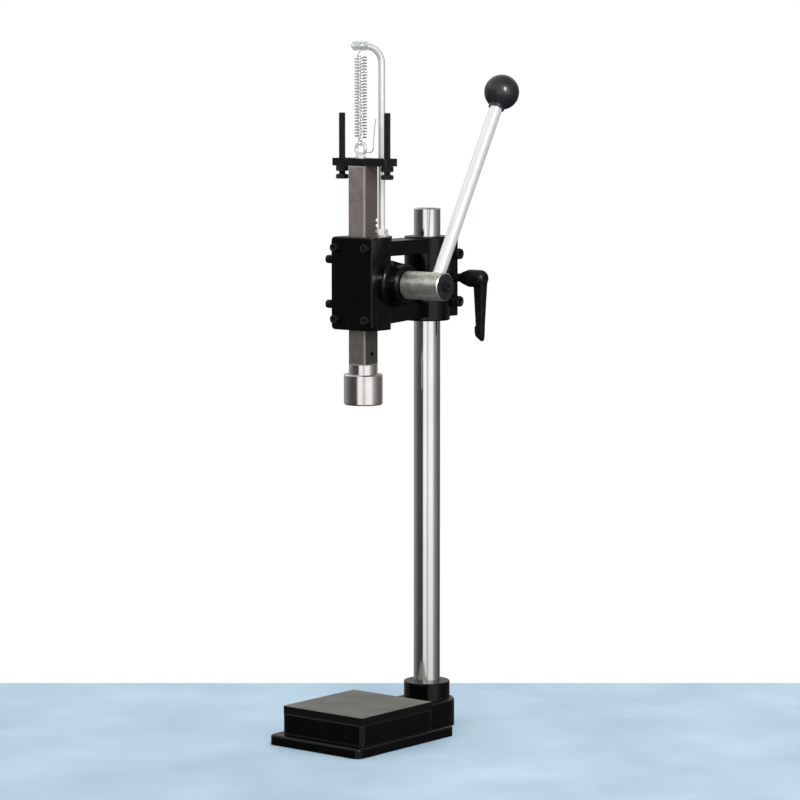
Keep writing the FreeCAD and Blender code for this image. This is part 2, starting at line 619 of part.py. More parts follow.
def make_gib_screws():
    reach = "(head_width / 2 - ram_side / 2 - ram_fit - gib_thick)"
    screws, nuts = [], []
    for end, k in (("upper", "1"), ("lower", "-1")):
        height = "head_middle + %s * gib_screw_pitch / 2" % k
        thick = "2 * small_screw"
        screws.append(socket_screw("gib_screw_" + end,
                                   ("-(head_width / 2 + gib_screw_out - %s)" % thick, "gib_screw_back",
                                    height),
                                   "left", "small_screw", "small_head", thick,
                                   "%s + gib_screw_out - %s" % (reach, thick), "small_key"))
        nuts.append(nut("gib_nut_" + end, ("-head_width / 2", "gib_screw_back", height), "left",
                        "small_nut", "small_screw + screw_fit", "small_nut_thick"))
    return [group("gib_screws", screws), group("gib_lock_nuts", nuts)]


def make_bushes():
    bore = "shaft_radius + bush_fit"
    left = turned("pinion_bush_left", [(bore, "0"), (BUSH_LEFT_OUT, "0"),
                                       (BUSH_LEFT_OUT, "head_width / 2 - %s" % CAVITY_HALF),
                                       (bore, "head_width / 2 - %s" % CAVITY_HALF)],
                  ("-head_width / 2", PINION_Y, PINION_Z), "right")
    length = "%s - bush_sunk - %s" % (BOSS_END, CAVITY_HALF)
    right = turned("pinion_bush_right",
                   [(bore, "0"), (BUSH_RIGHT_OUT, "0"), (BUSH_RIGHT_OUT, length), (bore, length)],
                   (CAVITY_HALF, PINION_Y, PINION_Z), "right")
    return [left, right]


def make_clamp_screws():
    screws = [socket_screw("clamp_screw_" + end,
                           ("ear_half", CLAMP_Y, "head_middle + %s * clamp_pitch / 2" % k), "right",
                           "big_screw", "big_head", "2 * big_screw", "2 * ear_half - big_screw / 2",
                           "big_key")
              for end, k in (("upper", "1"), ("lower", "-1"))]
    return group("clamp_screws", screws)


def make_spring_rod():
    """Rod that rises behind the ram and bends forward over the eye bolt to hold the spring."""
    body = new_body("spring_rod")
    foot = "head_middle + post_pad_top - post_depth"
    turn = "post_top - post_bend"
    path = new_sketch(body, "XZ", "0")
    rise = path.addGeometry(Part.LineSegment(V(0, number(foot), 0), V(0, number(turn), 0)))
    centre = V(number("post_bend"), number(turn), 0)
    bend = path.addGeometry(Part.ArcOfCircle(Part.Circle(centre, V(0, 0, 1), number("post_bend")),
                                             math.pi / 2, math.pi))
    run = path.addGeometry(Part.LineSegment(V(number("post_bend"), number("post_top"), 0),
                                            V(number("post_reach"), number("post_top"), 0)))
    for curve, point, x, y in ((rise, 1, "0", foot), (rise, 2, "0", turn),
                               (run, 1, "post_bend", "post_top"),
                               (run, 2, "post_reach", "post_top")):
        pin(path, curve, point, x, y)
    path.addConstraint(Sketcher.Constraint("Coincident", bend, 2, rise, 2))
    path.addConstraint(Sketcher.Constraint("Coincident", bend, 1, run, 1))
    size = path.addConstraint(Sketcher.Constraint("Radius", bend, number("post_bend")))
    path.setExpression("Constraints[%d]" % size, linked("post_bend"))
    pipe = body.newObject("PartDesign::AdditivePipe", "spring_rod_sweep")
    pipe.Profile = draw(body, "XY", [("0", "0", "post_radius")], foot)
    pipe.Spine = (path, ["Edge1", "Edge2", "Edge3"])
    doc.recompute()
    place(body, ("post_x", "post_y", "0"))
    body.Placement.Rotation = FreeCAD.Rotation(V(0, 0, 1), 90)
    body.setExpression("Placement.Rotation.Angle", linked("atan2(eye_y - post_y; eye_x - post_x)"))
    return body


def make_rod_nuts():
    """Washer and nut at the foot, and the two nuts that keep the spring's loop on the tip."""
    top = "head_middle + post_pad_top"
    bore = "post_radius + screw_fit"
    washer = turned("spring_rod_washer", [(bore, "0"), ("post_washer_radius", "0"),
                                          ("post_washer_radius", "post_washer"), (bore, "post_washer")],
                    ("post_x", "post_y", top))
    foot = nut("spring_rod_foot_nut", ("post_x", "post_y", top + " + post_washer"), "up", "big_nut", bore,
               "big_nut_thick")
    tip_nuts = []
    loop_at = "sqrt(pow(eye_x - post_x; 2) + pow(eye_y - post_y; 2))"
    for name, along, thick in (("inner", "%s - loop_room - big_nut_thick / 2" % loop_at,
                                "big_nut_thick / 2"),
                               ("outer", "%s + loop_room" % loop_at, "big_nut_thick")):
        piece = nut("spring_rod_%s_nut" % name, ("0", "0", "0"), "up", "big_nut", bore, thick)
        heading = math.degrees(math.atan2(number("eye_y - post_y"), number("eye_x - post_x")))
        piece.Placement.Rotation = FreeCAD.Rotation(V(0, 0, 1), heading).multiply(FACING["right"])
        share = "(%s) / %s" % (along, loop_at)
        piece.setExpression("Placement.Base.x", linked("post_x + (eye_x - post_x) * " + share))
        piece.setExpression("Placement.Base.y", linked("post_y + (eye_y - post_y) * " + share))
        piece.setExpression("Placement.Base.z", linked("post_top"))
        tip_nuts.append(piece)
    return [washer, foot, group("spring_rod_tip_nuts", tip_nuts)]


def make_ram():
    """Square ram with rack teeth cut across its rear face."""
    body = new_body("ram")
    half = "ram_side / 2"
    pad(body, "XY", [rectangle("-" + half, half, "-" + half, half)], "ram_bottom", "ram_length")
    soften(body, "Chamfer", upright, "ram_edge")
    slope = "tan(gear_pressure)"
    pitch_line = "(ram_side / 2 - rack_addendum)"
    half_space = "(pi * gear_module / 4 + gear_backlash / 2)"
    lowest = "(%s - rack_below * pi * gear_module)" % PINION_Z
    deep = "(%s - %s * rack_dedendum)" % (half_space, slope)
    wide = "(%s + %s * (rack_addendum + ram_edge))" % (half_space, slope)
    space = [("%s - rack_dedendum" % pitch_line, "%s - %s" % (lowest, deep)),
             ("%s + ram_edge" % half, "%s - %s" % (lowest, wide)),
             ("%s + ram_edge" % half, "%s + %s" % (lowest, wide)),
             ("%s - rack_dedendum" % pitch_line, "%s + %s" % (lowest, deep))]
    cut = pocket(body, "YZ", [space], "ram_side", "2 * ram_side")
    rack = body.newObject("PartDesign::LinearPattern", "rack")
    rack.Originals = [cut]
    rack.Direction = (cut.Profile[0], ["V_Axis"])
    bind(rack, Length="(rack_spaces - 1) * pi * gear_module", Occurrences="rack_spaces")
    rack.Refine = True
    body.Tip = rack
    doc.recompute()
    if rack.Shape.Volume > cut.Shape.Volume - OVER:
        raise RuntimeError("the rack has only one space")
    pocket(body, "XY", [("0", "0", "bell_shank + screw_fit")], "ram_bottom",
           "bell_shank_length + bell_shank / 8", along=True)
    pocket(body, "XY", [("eye_x", "eye_y", "big_screw + screw_fit")], RAM_TOP,
           "eye_shank - bar_thick + big_screw / 4")
    pocket(body, "YZ", [("0", "ram_bottom + bell_set_height", "small_screw + screw_fit")], "ram_side",
           "ram_side")
    return body


def make_bell():
    """Crimp bell: tapered mouth, straight throat and a recess for the magnet."""
    roof = "(bell_lead + bell_throat)"
    neck = "(bell_height + bell_neck_height)"
    profile = [("bell_mouth", "0"), ("bell_bore", "bell_lead"), ("bell_bore", roof),
               ("magnet_radius + screw_fit", roof), ("magnet_radius + screw_fit", roof + " + magnet_thick"),
               ("0", roof + " + magnet_thick"), ("0", neck + " + bell_shank_length"),
               ("bell_shank", neck + " + bell_shank_length"), ("bell_shank", neck), ("bell_neck", neck),
               ("bell_neck", "bell_height"), ("bell_radius - bell_edge", "bell_height"),
               ("bell_radius", "bell_height - bell_edge"), ("bell_radius", "bell_edge"),
               ("bell_radius - bell_edge", "0")]
    foot = "ram_bottom - " + neck
    bell = turned("crimp_bell", profile, ("0", "0", foot))
    magnet = turned("cap_magnet", [("0", "0"), ("magnet_radius", "0"), ("magnet_radius", "magnet_thick"),
                                   ("0", "magnet_thick")], ("0", "0", "%s + %s" % (foot, roof)))
    reach = "ram_side / 2 - bell_shank + bell_set_out"
    set_screw = turned("bell_set_screw",
                       [("0", "0"), ("small_screw * 3 / 4", "0"), ("small_screw", "small_screw / 4"),
                                          ("small_screw", reach),
                                          ("0", reach)],
                       ("bell_shank + seat_gap", "0", "ram_bottom + bell_set_height"), "right")
    pocket(set_screw, "XY", [hexagon("small_screw")], reach, "small_screw")
    return [bell, magnet, set_screw]


def make_stop_bar():
    body = new_body("stop_bar")
    wide, deep = "bar_width / 2", "bar_depth / 2"
    pad(body, "XY", [rectangle("-" + wide, wide, "bar_back - " + deep, "bar_back + " + deep)], RAM_TOP,
        "bar_thick")
    soften(body, "Chamfer", upright, "bar_edge")
    holes = [("%s * stop_pitch / 2" % sign, "bar_back", "big_screw + screw_fit") for sign in ("1", "-1")]
    holes.append(("eye_x", "eye_y", "big_screw + screw_fit"))
    pocket(body, "XY", holes, BAR_TOP, "2 * bar_thick")
    return body


def make_stop_bolts():
    under = "big_nut_thick + stop_gap"
    bolts, nuts = [], []
    for side, i in (("right", "1"), ("left", "-1")):
        across = "%s * stop_pitch / 2" % i
        bolt = new_body("stop_bolt_" + side)
        pad(bolt, "XY", [hexagon("big_nut")], "-stop_head_thick", "stop_head_thick")
        length = under + " + bar_thick + stop_above"
        pad(bolt, "XY", [("0", "0", "big_screw")], "0", length)
        tip = number(length)
        soften(bolt, "Chamfer", lambda edge: level_at(edge, tip), "big_screw / 5")
        bolts.append(place(bolt, (across, "bar_back", "%s - (%s)" % (RAM_TOP, under))))
        nuts.append(nut("stop_nut_" + side, (across, "bar_back", RAM_TOP), "down", "big_nut",
                        "big_screw + screw_fit", "big_nut_thick"))
    return [group("stop_bolts", bolts), group("stop_nuts", nuts)]


def make_eye_bolt():
    body = turned("eye_bolt", [("0", "-eye_shank"), ("big_screw", "-eye_shank"),
                               ("big_screw", "0"), ("eye_foot", "0"), ("eye_foot", "eye_foot_thick"),
                               ("eye_wire", "eye_foot_thick + eye_wire"),
                               ("0", "eye_foot_thick + eye_wire")],
                  ("eye_x", "eye_y", BAR_TOP))
    ring = body.newObject("PartDesign::AdditiveTorus", "eye_ring")
    ring.Placement = FreeCAD.Placement(V(), FACING["front"])
    bind(ring, Radius1="eye_ring", Radius2="eye_wire")
    ring.setExpression("Placement.Base.z", linked("eye_foot_thick + eye_ring + eye_wire"))
    doc.recompute()
    return body


def wire(label, points, radius):
    """Round wire through points, with a ball at each bend."""
    places = [V(*[number(text) for text in point]) for point in points]
    thick = number(radius)
    shape = None
    for start, end in zip(places, places[1:]):
        rod = Part.makeCylinder(thick, (end - start).Length, start, end - start)
        shape = rod if shape is None else shape.fuse(rod)
    for bend in places[1:-1]:
        shape = shape.fuse(Part.makeSphere(thick, bend))
    piece = doc.addObject("Part::Feature", label)
    piece.Label = label
    piece.Shape = shape.removeSplitter()
    return piece


def make_wire_tail():
    """Loose end of the spring wire: through the eye from the front, round behind it and up."""
    behind = "eye_y + eye_wire + tail_radius + seat_gap"
    rest = "%s - eye_ring + eye_wire + tail_radius + seat_gap" % EYE_MIDDLE
    top = BAR_TOP + " + tail_height"
    points = [("eye_x", "eye_y - 2 * eye_wire", rest), ("eye_x", behind, rest), ("tail_x", behind, rest),
              ("tail_x + tail_height * tan(tail_lean)", behind, top)]
    return wire("wire_tail", points, "tail_radius")


def make_return_spring():
    """Coil envelope with a loop round the eye at the bottom and one round the rod's tip at the top."""
    thick = "spring_wire / 2"
    tube = doc.addObject("Part::Cylinder", "spring_outside")
    bind(place(tube, ("eye_x", "eye_y", SPRING_LOW)), Radius="spring_radius",
         Height="%s - %s" % (SPRING_HIGH, SPRING_LOW))
    core = doc.addObject("Part::Cylinder", "spring_inside")
    bind(place(core, ("eye_x", "eye_y", SPRING_LOW + " + spring_wire")),
         Radius="spring_radius - spring_wire",
         Height="%s - %s - 2 * spring_wire" % (SPRING_HIGH, SPRING_LOW))
    coils = doc.addObject("Part::Cut", "spring_coils")
    coils.Base, coils.Tool = tube, core
    parts = [coils]
    low_middle = "%s + eye_ring" % EYE_MIDDLE
    heading = math.degrees(math.atan2(number("eye_y - post_y"), number("eye_x - post_x")))
    across = FreeCAD.Rotation(V(0, 0, 1), heading).multiply(FACING["right"])
    for name, level, size, turn in (("lower", low_middle, LOW_LOOP, FACING["right"]),
                                    ("upper", "post_top", HIGH_LOOP, across)):
        loop = doc.addObject("Part::Torus", "spring_%s_loop" % name)
        place(loop, ("eye_x", "eye_y", level))
        loop.Placement.Rotation = turn
        parts.append(bind(loop, Radius1=size, Radius2=thick))
    for name, low, high in (("lower", "%s + %s" % (low_middle, LOW_LOOP),
                             SPRING_LOW + " + spring_wire / 2"),
                            ("upper", SPRING_HIGH + " - spring_wire / 2", "post_top - " + HIGH_LOOP)):
        link = doc.addObject("Part::Cylinder", "spring_%s_link" % name)
        bind(place(link, ("eye_x", "eye_y", low)), Radius=thick, Height="(%s) - (%s)" % (high, low))
        parts.append(link)
    spring = doc.addObject("Part::MultiFuse", "return_spring")
    spring.Label = "return_spring"
    spring.Shapes = parts
    return spring


FLANK_STEPS = 4


def involute(roll, base):
    return base * (math.cos(roll) + roll * math.sin(roll)), base * (math.sin(roll) - roll * math.cos(roll))


def pinion_outline():
    """Involute teeth, one of them pointing to the rack, as a closed wire in the YZ plane."""
    module, teeth = number("gear_module"), int(number("gear_teeth"))
    pitch = number(PITCH_RADIUS)
    pressure = math.radians(number("gear_pressure"))
    base = pitch * math.cos(pressure)
    tip, root = pitch + module, pitch - number("gear_root")
    half_tooth = (math.pi / 2 - number("gear_backlash") / (2 * module)) / teeth
    start = half_tooth + math.tan(pressure) - pressure
    last_roll = math.sqrt((tip / base) ** 2 - 1)
    points = []
    for tooth in range(teeth):
        middle_turn = math.pi + 2 * math.pi * tooth / teeth
        flank = [involute(last_roll * n / FLANK_STEPS, base) for n in range(FLANK_STEPS + 1)]
        side = [(math.hypot(x, y), start - math.atan2(y, x)) for x, y in flank]
        side.insert(0, (root, side[0][1]))
        turns = [(radius, middle_turn - turn) for radius, turn in side]
        turns += [(radius, middle_turn + turn) for radius, turn in reversed(side)]
        points += [V(0, radius * math.cos(turn), radius * math.sin(turn)) for radius, turn in turns]
    return Part.makePolygon(points + points[:1])


def make_pinion_shaft():
    """Pinion cut in one piece with its shaft."""
    left = number("-head_width / 2")
    middle_place = V(0, number(PINION_Y), number(PINION_Z))
    shaft = Part.makeCylinder(number("shaft_radius"), number("shaft_end") - left, V(left, 0, 0), V(1, 0, 0))
    half = number("gear_width / 2")
    gear = Part.Face(pinion_outline()).extrude(V(2 * half, 0, 0))
    gear.translate(V(-half, 0, 0))
    tap = Part.makeCylinder(number("small_screw + screw_fit"), number("end_screw_reach + small_screw / 2"),
                            V(left, 0, 0),
                            V(1, 0, 0))
    shape = gear.fuse(shaft).cut(tap)
    shape.translate(middle_place)
    piece = doc.addObject("Part::Feature", "pinion_shaft")
    piece.Label = "pinion_shaft"
    piece.Shape = shape.removeSplitter()
    return piece


def make_pinion_end():
    washer = turned("pinion_end_washer", [("small_screw + screw_fit", "0"), ("washer_radius", "0"),
                                          ("washer_radius", "washer_thick"),
                                          ("small_screw + screw_fit", "washer_thick")],
                    ("-head_width / 2", PINION_Y, PINION_Z), "left")
    screw = socket_screw("pinion_end_screw", ("-(head_width / 2 + washer_thick)", PINION_Y, PINION_Z),
                         "left",
                         "small_screw", "small_head", "end_head_thick", "washer_thick + end_screw_reach",
                         "small_key")
    return [washer, screw]


def make_lever():
    """Hub on the pinion shaft, rod in its cross hole, clamp screw in its end face, and the knob."""
    hub = turned("lever_hub", [("0", "0"), ("hub_radius - hub_edge", "0"), ("hub_radius", "hub_edge"),
                               ("hub_radius", "hub_length - hub_edge"),
                               ("hub_radius - hub_edge", "hub_length"),
                               ("0", "hub_length")], (HUB_START, PINION_Y, PINION_Z), "right")
    pocket(hub, "XY", [("0", "0", "shaft_radius + screw_fit")], "0", "shaft_end - %s" % HUB_START,
           along=True)
    pocket(hub, "XY", [("0", "0", "big_screw + screw_fit")], "hub_length", "rod_from_end")
    cross = hub.newObject("PartDesign::SubtractiveCylinder", "rod_hole")
    cross.Placement = FreeCAD.Placement(V(), FreeCAD.Rotation(V(0, 0, 1), V(-1, 0, 0)))
    # In the hub's own frame Z runs along the shaft, -X is up and Y is to the rear
    tilt = number("lever_lean")
    direction = V(-math.cos(math.radians(tilt)), math.sin(math.radians(tilt)), 0)
    cross.Placement.Rotation = FreeCAD.Rotation(V(0, 0, 1), direction)
    bind(cross, Radius="rod_radius + screw_fit", Height="rod_depth + 2 * hub_radius")
    cross.setExpression("Placement.Base.x", linked("rod_depth * cos(lever_lean)"))
    cross.setExpression("Placement.Base.y", linked("-rod_depth * sin(lever_lean)"))
    cross.setExpression("Placement.Base.z", linked("hub_length - rod_from_end"))
    doc.recompute()
    screw = socket_screw("hub_clamp_screw", (HUB_END, PINION_Y, PINION_Z), "right", "big_screw",
                         "small_head",
                         "end_head_thick", "rod_from_end - rod_radius - seat_gap", "small_key")

    lean = FreeCAD.Rotation(V(1, 0, 0), -number("lever_lean"))
    rod = turned("lever_rod",
                 [("0", "0"), ("rod_radius", "0"), ("rod_radius", "rod_depth + lever_reach - knob_foot"),
                               ("knob_screw", "rod_depth + lever_reach - knob_foot"),
                               ("knob_screw", "rod_depth + lever_reach + knob_hole"),
                               ("0", "rod_depth + lever_reach + knob_hole")])
    rod.Placement.Rotation = lean
    rod.setExpression("Placement.Base.x", linked(ROD_X))
    rod.setExpression("Placement.Base.y", linked("%s - rod_depth * sin(lever_lean)" % PINION_Y))
    rod.setExpression("Placement.Base.z", linked(PINION_Z + " - rod_depth * cos(lever_lean)"))

    knob = new_body("ball_knob")
    ball = knob.newObject("PartDesign::AdditiveSphere", "ball")
    bind(ball, Radius="knob_radius")
    doc.recompute()
    pad(knob, "XY", [("0", "0", "knob_neck")], "-knob_foot", "knob_foot")
    pocket(knob, "XY", [("0", "0", "knob_screw + screw_fit")], "-knob_foot", "knob_foot + knob_hole",
           along=True)
    knob.Placement.Rotation = lean
    knob.setExpression("Placement.Base.x", linked(ROD_X))
    knob.setExpression("Placement.Base.y", linked("%s + lever_reach * sin(lever_lean)" % PINION_Y))
    knob.setExpression("Placement.Base.z", linked(PINION_Z + " + lever_reach * cos(lever_lean)"))
    return [hub, screw, rod, knob]


def make_clamp_handle():
    """Adjustable handle: lifted off the toothed insert against a spring, it turns freely to a new place."""
    axis = (CLAMP_Y, "head_middle")
    stud = "(2 * ear_half - big_screw / 4)"
    insert = turned("clamp_insert", [("0", "-" + stud), ("big_screw", "-" + stud),
                                     ("big_screw", "0"), ("insert_radius", "0"),
                                     ("insert_radius", "insert_flange"),
                                     ("insert_barrel", "insert_flange"),
                                     ("insert_barrel", "insert_flange + insert_barrel_length"),
                                     ("0", "insert_flange + insert_barrel_length")], ("ear_half",) + axis,
                    "right")
    pocket(insert, "XY", [("0", "0", "handle_screw + screw_fit")], "insert_flange + insert_barrel_length",
           "handle_screw_reach + handle_screw / 2")

    handle = new_body("clamp_handle")
    revolve(handle, [("0", "0"), ("handle_neck", "0"), ("handle_hub", "handle_hub_length / 3"),
                     ("handle_hub", "handle_hub_length - handle_edge"),
                     ("handle_hub - handle_edge", "handle_hub_length"), ("0", "handle_hub_length")])
    # In the handle's own frame Z runs to the right and X points down
    wide, deep = "arm_breadth / 2", "arm_depth / 2"
    along = "(handle_hub_length - handle_edge - arm_inset - arm_breadth / 2)"
    arm = handle.newObject("PartDesign::AdditiveLoft", "handle_arm")
    arm.Profile = draw(handle, "YZ",
                       [rectangle("-" + deep, deep, along + " - " + wide, along + " + " + wide)], "0")
    tip = "arm_tip_share * "
    arm.Sections = [draw(handle, "YZ",
                         [rectangle("-%s%s" % (tip, deep), tip + deep, "%s - %s%s" % (along, tip, wide),
                                                  "%s + %s%s" % (along, tip, wide))], "handle_length")]
    doc.recompute()
    far = number("handle_length")
    soften(handle, "Chamfer", lambda edge: edge.BoundBox.XMax > far - NEAR
           and edge.BoundBox.XLength > far / 2, "arm_depth / 5")
    barrel = "insert_barrel + handle_fit"
    pocket(handle, "XY", [("0", "0", barrel)], "0", "insert_barrel_length + handle_fit", along=True)
    pocket(handle, "XY", [("0", "0", "handle_screw + handle_fit")], "0", "handle_hub_length", along=True)
    pocket(handle, "XY", [("0", "0", "handle_screw_head + handle_fit")], "handle_hub_length + arm_breadth",
           "arm_breadth + handle_screw_sunk + handle_screw_thick + handle_spring_room")
    place(handle, (HANDLE_X,) + axis, "right")

    screw = socket_screw("clamp_handle_screw", ("%s + %s" % (HANDLE_X, SCREW_SEAT),) + axis, "right",
                         "handle_screw",
                         "handle_screw_head", "handle_screw_thick",
                         "%s - insert_barrel_length + handle_screw_reach" % SCREW_SEAT, "handle_screw")
    spring = turned("clamp_handle_spring", [("handle_screw_head - handle_spring_wall", "0"),
                                            ("handle_screw_head", "0"),
                                            ("handle_screw_head", "handle_spring_room"),
                                            ("handle_screw_head - handle_spring_wall",
                                             "handle_spring_room")],
                    ("%s + %s - handle_spring_room" % (HANDLE_X, SCREW_SEAT),) + axis, "right")
    return [insert, handle, screw, spring]


pieces = [make_base(), make_column(), make_column_screw(), make_head(), make_cover(), make_cover_screws(),
          make_gib()]
pieces += make_gib_screws() + make_bushes() + [make_clamp_screws(), make_spring_rod()] + make_rod_nuts()
pieces += [make_ram()] + make_bell() + [make_stop_bar()] + make_stop_bolts()
pieces += [make_eye_bolt(), make_wire_tail(), make_return_spring(), make_pinion_shaft()]
pieces += make_pinion_end() + make_lever() + make_clamp_handle()
doc.recompute()

for thing in doc.Objects:
    if "Invalid" in thing.State or "Error" in thing.State:
        raise RuntimeError("%s failed: %s" % (thing.Name, thing.State))
os.makedirs("parts", exist_ok=True)
for piece in pieces:
    if piece.Shape.isNull() or not piece.Shape.isValid():
        raise RuntimeError("%s has no valid shape" % piece.Label)
    piece.Shape.exportStep(os.path.join("parts", piece.Label + ".step"))
    print("%-22s %2d solids %9.0f mm3" % (piece.Label, len(piece.Shape.Solids), piece.Shape.Volume))
print(len(pieces), "nodes")
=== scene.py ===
"""Looks of the bench bottle capper: finishes, threads, springs and the adjustable handle's grip.

Metres, +Z up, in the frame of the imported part: the ram's axis meets the surface under the base at
the origin. Sizes of drawn pieces are written in millimetres and scaled once, when a mesh is made.
"""
import json
import math

import bmesh
import bpy
from mathutils import Matrix, Vector


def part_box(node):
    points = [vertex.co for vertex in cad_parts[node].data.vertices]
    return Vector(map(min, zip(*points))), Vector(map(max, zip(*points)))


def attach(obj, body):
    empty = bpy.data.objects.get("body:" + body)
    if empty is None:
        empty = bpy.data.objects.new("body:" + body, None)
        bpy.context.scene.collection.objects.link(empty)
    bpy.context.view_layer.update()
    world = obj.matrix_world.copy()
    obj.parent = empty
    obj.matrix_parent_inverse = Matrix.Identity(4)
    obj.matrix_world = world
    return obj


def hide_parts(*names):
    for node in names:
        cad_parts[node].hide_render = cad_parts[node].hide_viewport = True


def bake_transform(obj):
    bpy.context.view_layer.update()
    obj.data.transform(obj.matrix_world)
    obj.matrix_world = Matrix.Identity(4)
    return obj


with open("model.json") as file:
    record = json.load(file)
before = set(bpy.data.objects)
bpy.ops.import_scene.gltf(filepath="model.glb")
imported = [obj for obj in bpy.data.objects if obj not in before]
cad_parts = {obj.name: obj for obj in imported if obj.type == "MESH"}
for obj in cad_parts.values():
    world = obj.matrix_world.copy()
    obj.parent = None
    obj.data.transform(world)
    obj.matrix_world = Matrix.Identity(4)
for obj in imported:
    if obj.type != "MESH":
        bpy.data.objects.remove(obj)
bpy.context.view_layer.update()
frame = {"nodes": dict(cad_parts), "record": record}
NODES = frame["nodes"]
MM = 0.001
TURN = 2 * math.pi

# Photograph: camera place, tilt, heading and focal length
CAMERA_AT = (2.459, -2.952, 0.803)
CAMERA_TILT = 84.1
CAMERA_HEADING = 39.15
CAMERA_LENS = 147.6


# Node helpers

def add_node(tree, kind, inputs=(), **settings):
    """Add a shader node, set its properties, and fill its inputs with values or other nodes' outputs."""
    node = tree.nodes.new("ShaderNode" + kind)
    for name, value in settings.items():
        setattr(node, name, value)
    for name, value in dict(inputs).items():
        if isinstance(value, bpy.types.NodeSocket):
            tree.links.new(value, node.inputs[name])
        else:
            node.inputs[name].default_value = value
    return node


def ramp(tree, factor, stops):
    """Colour ramp from (position, grey or colour) stops."""
    node = add_node(tree, "ValToRGB", {"Fac": factor})
    elements = node.color_ramp.elements
    while len(elements) < len(stops):
        elements.new(0.5)
    for element, (position, colour) in zip(elements, stops):
        element.position = position
        shade = (colour,) * 3 if isinstance(colour, (int, float)) else colour
        element.color = (*shade, 1)
    return node.outputs["Color"]


def math_node(tree, operation, first, second=0.0):
    return add_node(tree, "Math", {0: first, 1: second}, operation=operation).outputs[0]


def spread(tree, factor, low, high, start=0.3, end=0.7):
    """Turn a factor between start and end into a number between low and high."""
    return add_node(tree, "MapRange", {"Value": factor, "From Min": start, "From Max": end,
                                       "To Min": low, "To Max": high}).outputs["Result"]


def faces_along(tree, axis, least):
    """1 where the surface faces along an axis of the part, and 0 elsewhere."""
    normal = add_node(tree, "TexCoord").outputs["Normal"]
    share = add_node(tree, "SeparateXYZ", {"Vector": normal}).outputs[axis]
    return math_node(tree, "GREATER_THAN", share, least)


def object_place(tree, stretch=(1, 1, 1)):
    """The surface's place in the part's own frame, in metres, stretched along each axis."""
    coords = add_node(tree, "TexCoord").outputs["Object"]
    return add_node(tree, "Mapping", {"Vector": coords, "Scale": stretch}).outputs["Vector"]


def noise(tree, scale, stretch=(1, 1, 1), detail=3.0, roughness=0.5):
    """Noise from 0 to 1 that stays fixed to the part."""
    return add_node(tree, "TexNoise", {"Vector": object_place(tree, stretch), "Scale": scale,
                                       "Detail": detail, "Roughness": roughness}).outputs["Fac"]


def blend_colour(tree, factor, first, second, mode="MIX"):
    node = add_node(tree, "Mix", data_type="RGBA", blend_type=mode)
    for index, value in ((0, factor), (6, first), (7, second)):
        if isinstance(value, bpy.types.NodeSocket):
            tree.links.new(value, node.inputs[index])
        else:
            node.inputs[index].default_value = value if index == 0 else (*value, 1)
    return node.outputs[2]


def tinted(tree, colour, tint):
    """A colour multiplied by another."""
    return blend_colour(tree, 1.0, colour, tint, "MULTIPLY")


def bump(tree, height, strength, distance, normal=None):
    inputs = {"Height": height, "Strength": strength, "Distance": distance}
    if normal is not None:
        inputs["Normal"] = normal
    return add_node(tree, "Bump", inputs).outputs["Normal"]


def new_material(name, **sockets):
    """Material whose Principled shader gets the given constants."""
    made = bpy.data.materials.new(name)
    made.use_nodes = True
    tree = made.node_tree
    shader = tree.nodes["Principled BSDF"]
    for socket, value in sockets.items():
        shader.inputs[socket.replace("_", " ")].default_value = value
    return made, tree, shader


def drive(tree, shader, **sources):
    """Link outputs to the Principled shader's inputs."""
    for socket, source in sources.items():
        tree.links.new(source, shader.inputs[socket.replace("_", " ")])


# The edge mask gives a painted highlight on the ram and the hub, and rubbed edges on black oxide
def edge_wear_and_highlight(tree, radius, low, high):
    """A rounded normal, and 1 on edges and 0 on open surface from how far it leaves the true one."""
    rounded = add_node(tree, "Bevel", {"Radius": radius}, samples=4).outputs["Normal"]
    true_normal = add_node(tree, "NewGeometry").outputs["Normal"]
    likeness = add_node(tree, "VectorMath", {0: rounded, 1: true_normal}, operation="DOT_PRODUCT")
    return rounded, spread(tree, likeness.outputs["Value"], 0.0, 1.0, high, low)


# Materials

def enamel_parts(tree):
    """Gloss black enamel on a casting: soft waves, orange peel and a little dust."""
    waves = noise(tree, 38, detail=2)
    peel = noise(tree, 620, detail=2)
    rounded = add_node(tree, "Bevel", {"Radius": 0.0011}, samples=6).outputs["Normal"]
    wavy = bump(tree, waves, 0.35, 0.0009, rounded)
    normal = bump(tree, peel, 0.06, 0.00018, wavy)
    dust = noise(tree, 150, detail=6, roughness=0.7)
    shine = spread(tree, dust, 0.12, 0.20, 0.35, 0.75)
    colour = ramp(tree, dust, [(0.40, (0.0016, 0.0016, 0.0018)), (0.80, (0.0040, 0.0038, 0.0036))])
    specks = ramp(tree, noise(tree, 700, detail=5, roughness=0.8), [(0.60, 0.0), (0.70, 1.0)])
    colour = blend_colour(tree, math_node(tree, "MULTIPLY", specks, 0.5), colour, (0.022, 0.019, 0.016))
    return colour, shine, normal


def black_enamel():
    """The enamel alone, on the head and its cover."""
    made, tree, shader = new_material("black_enamel", Specular_IOR_Level=0.32)
    colour, shine, normal = enamel_parts(tree)
    drive(tree, shader, Base_Color=colour, Roughness=shine, Normal=normal)
    return made


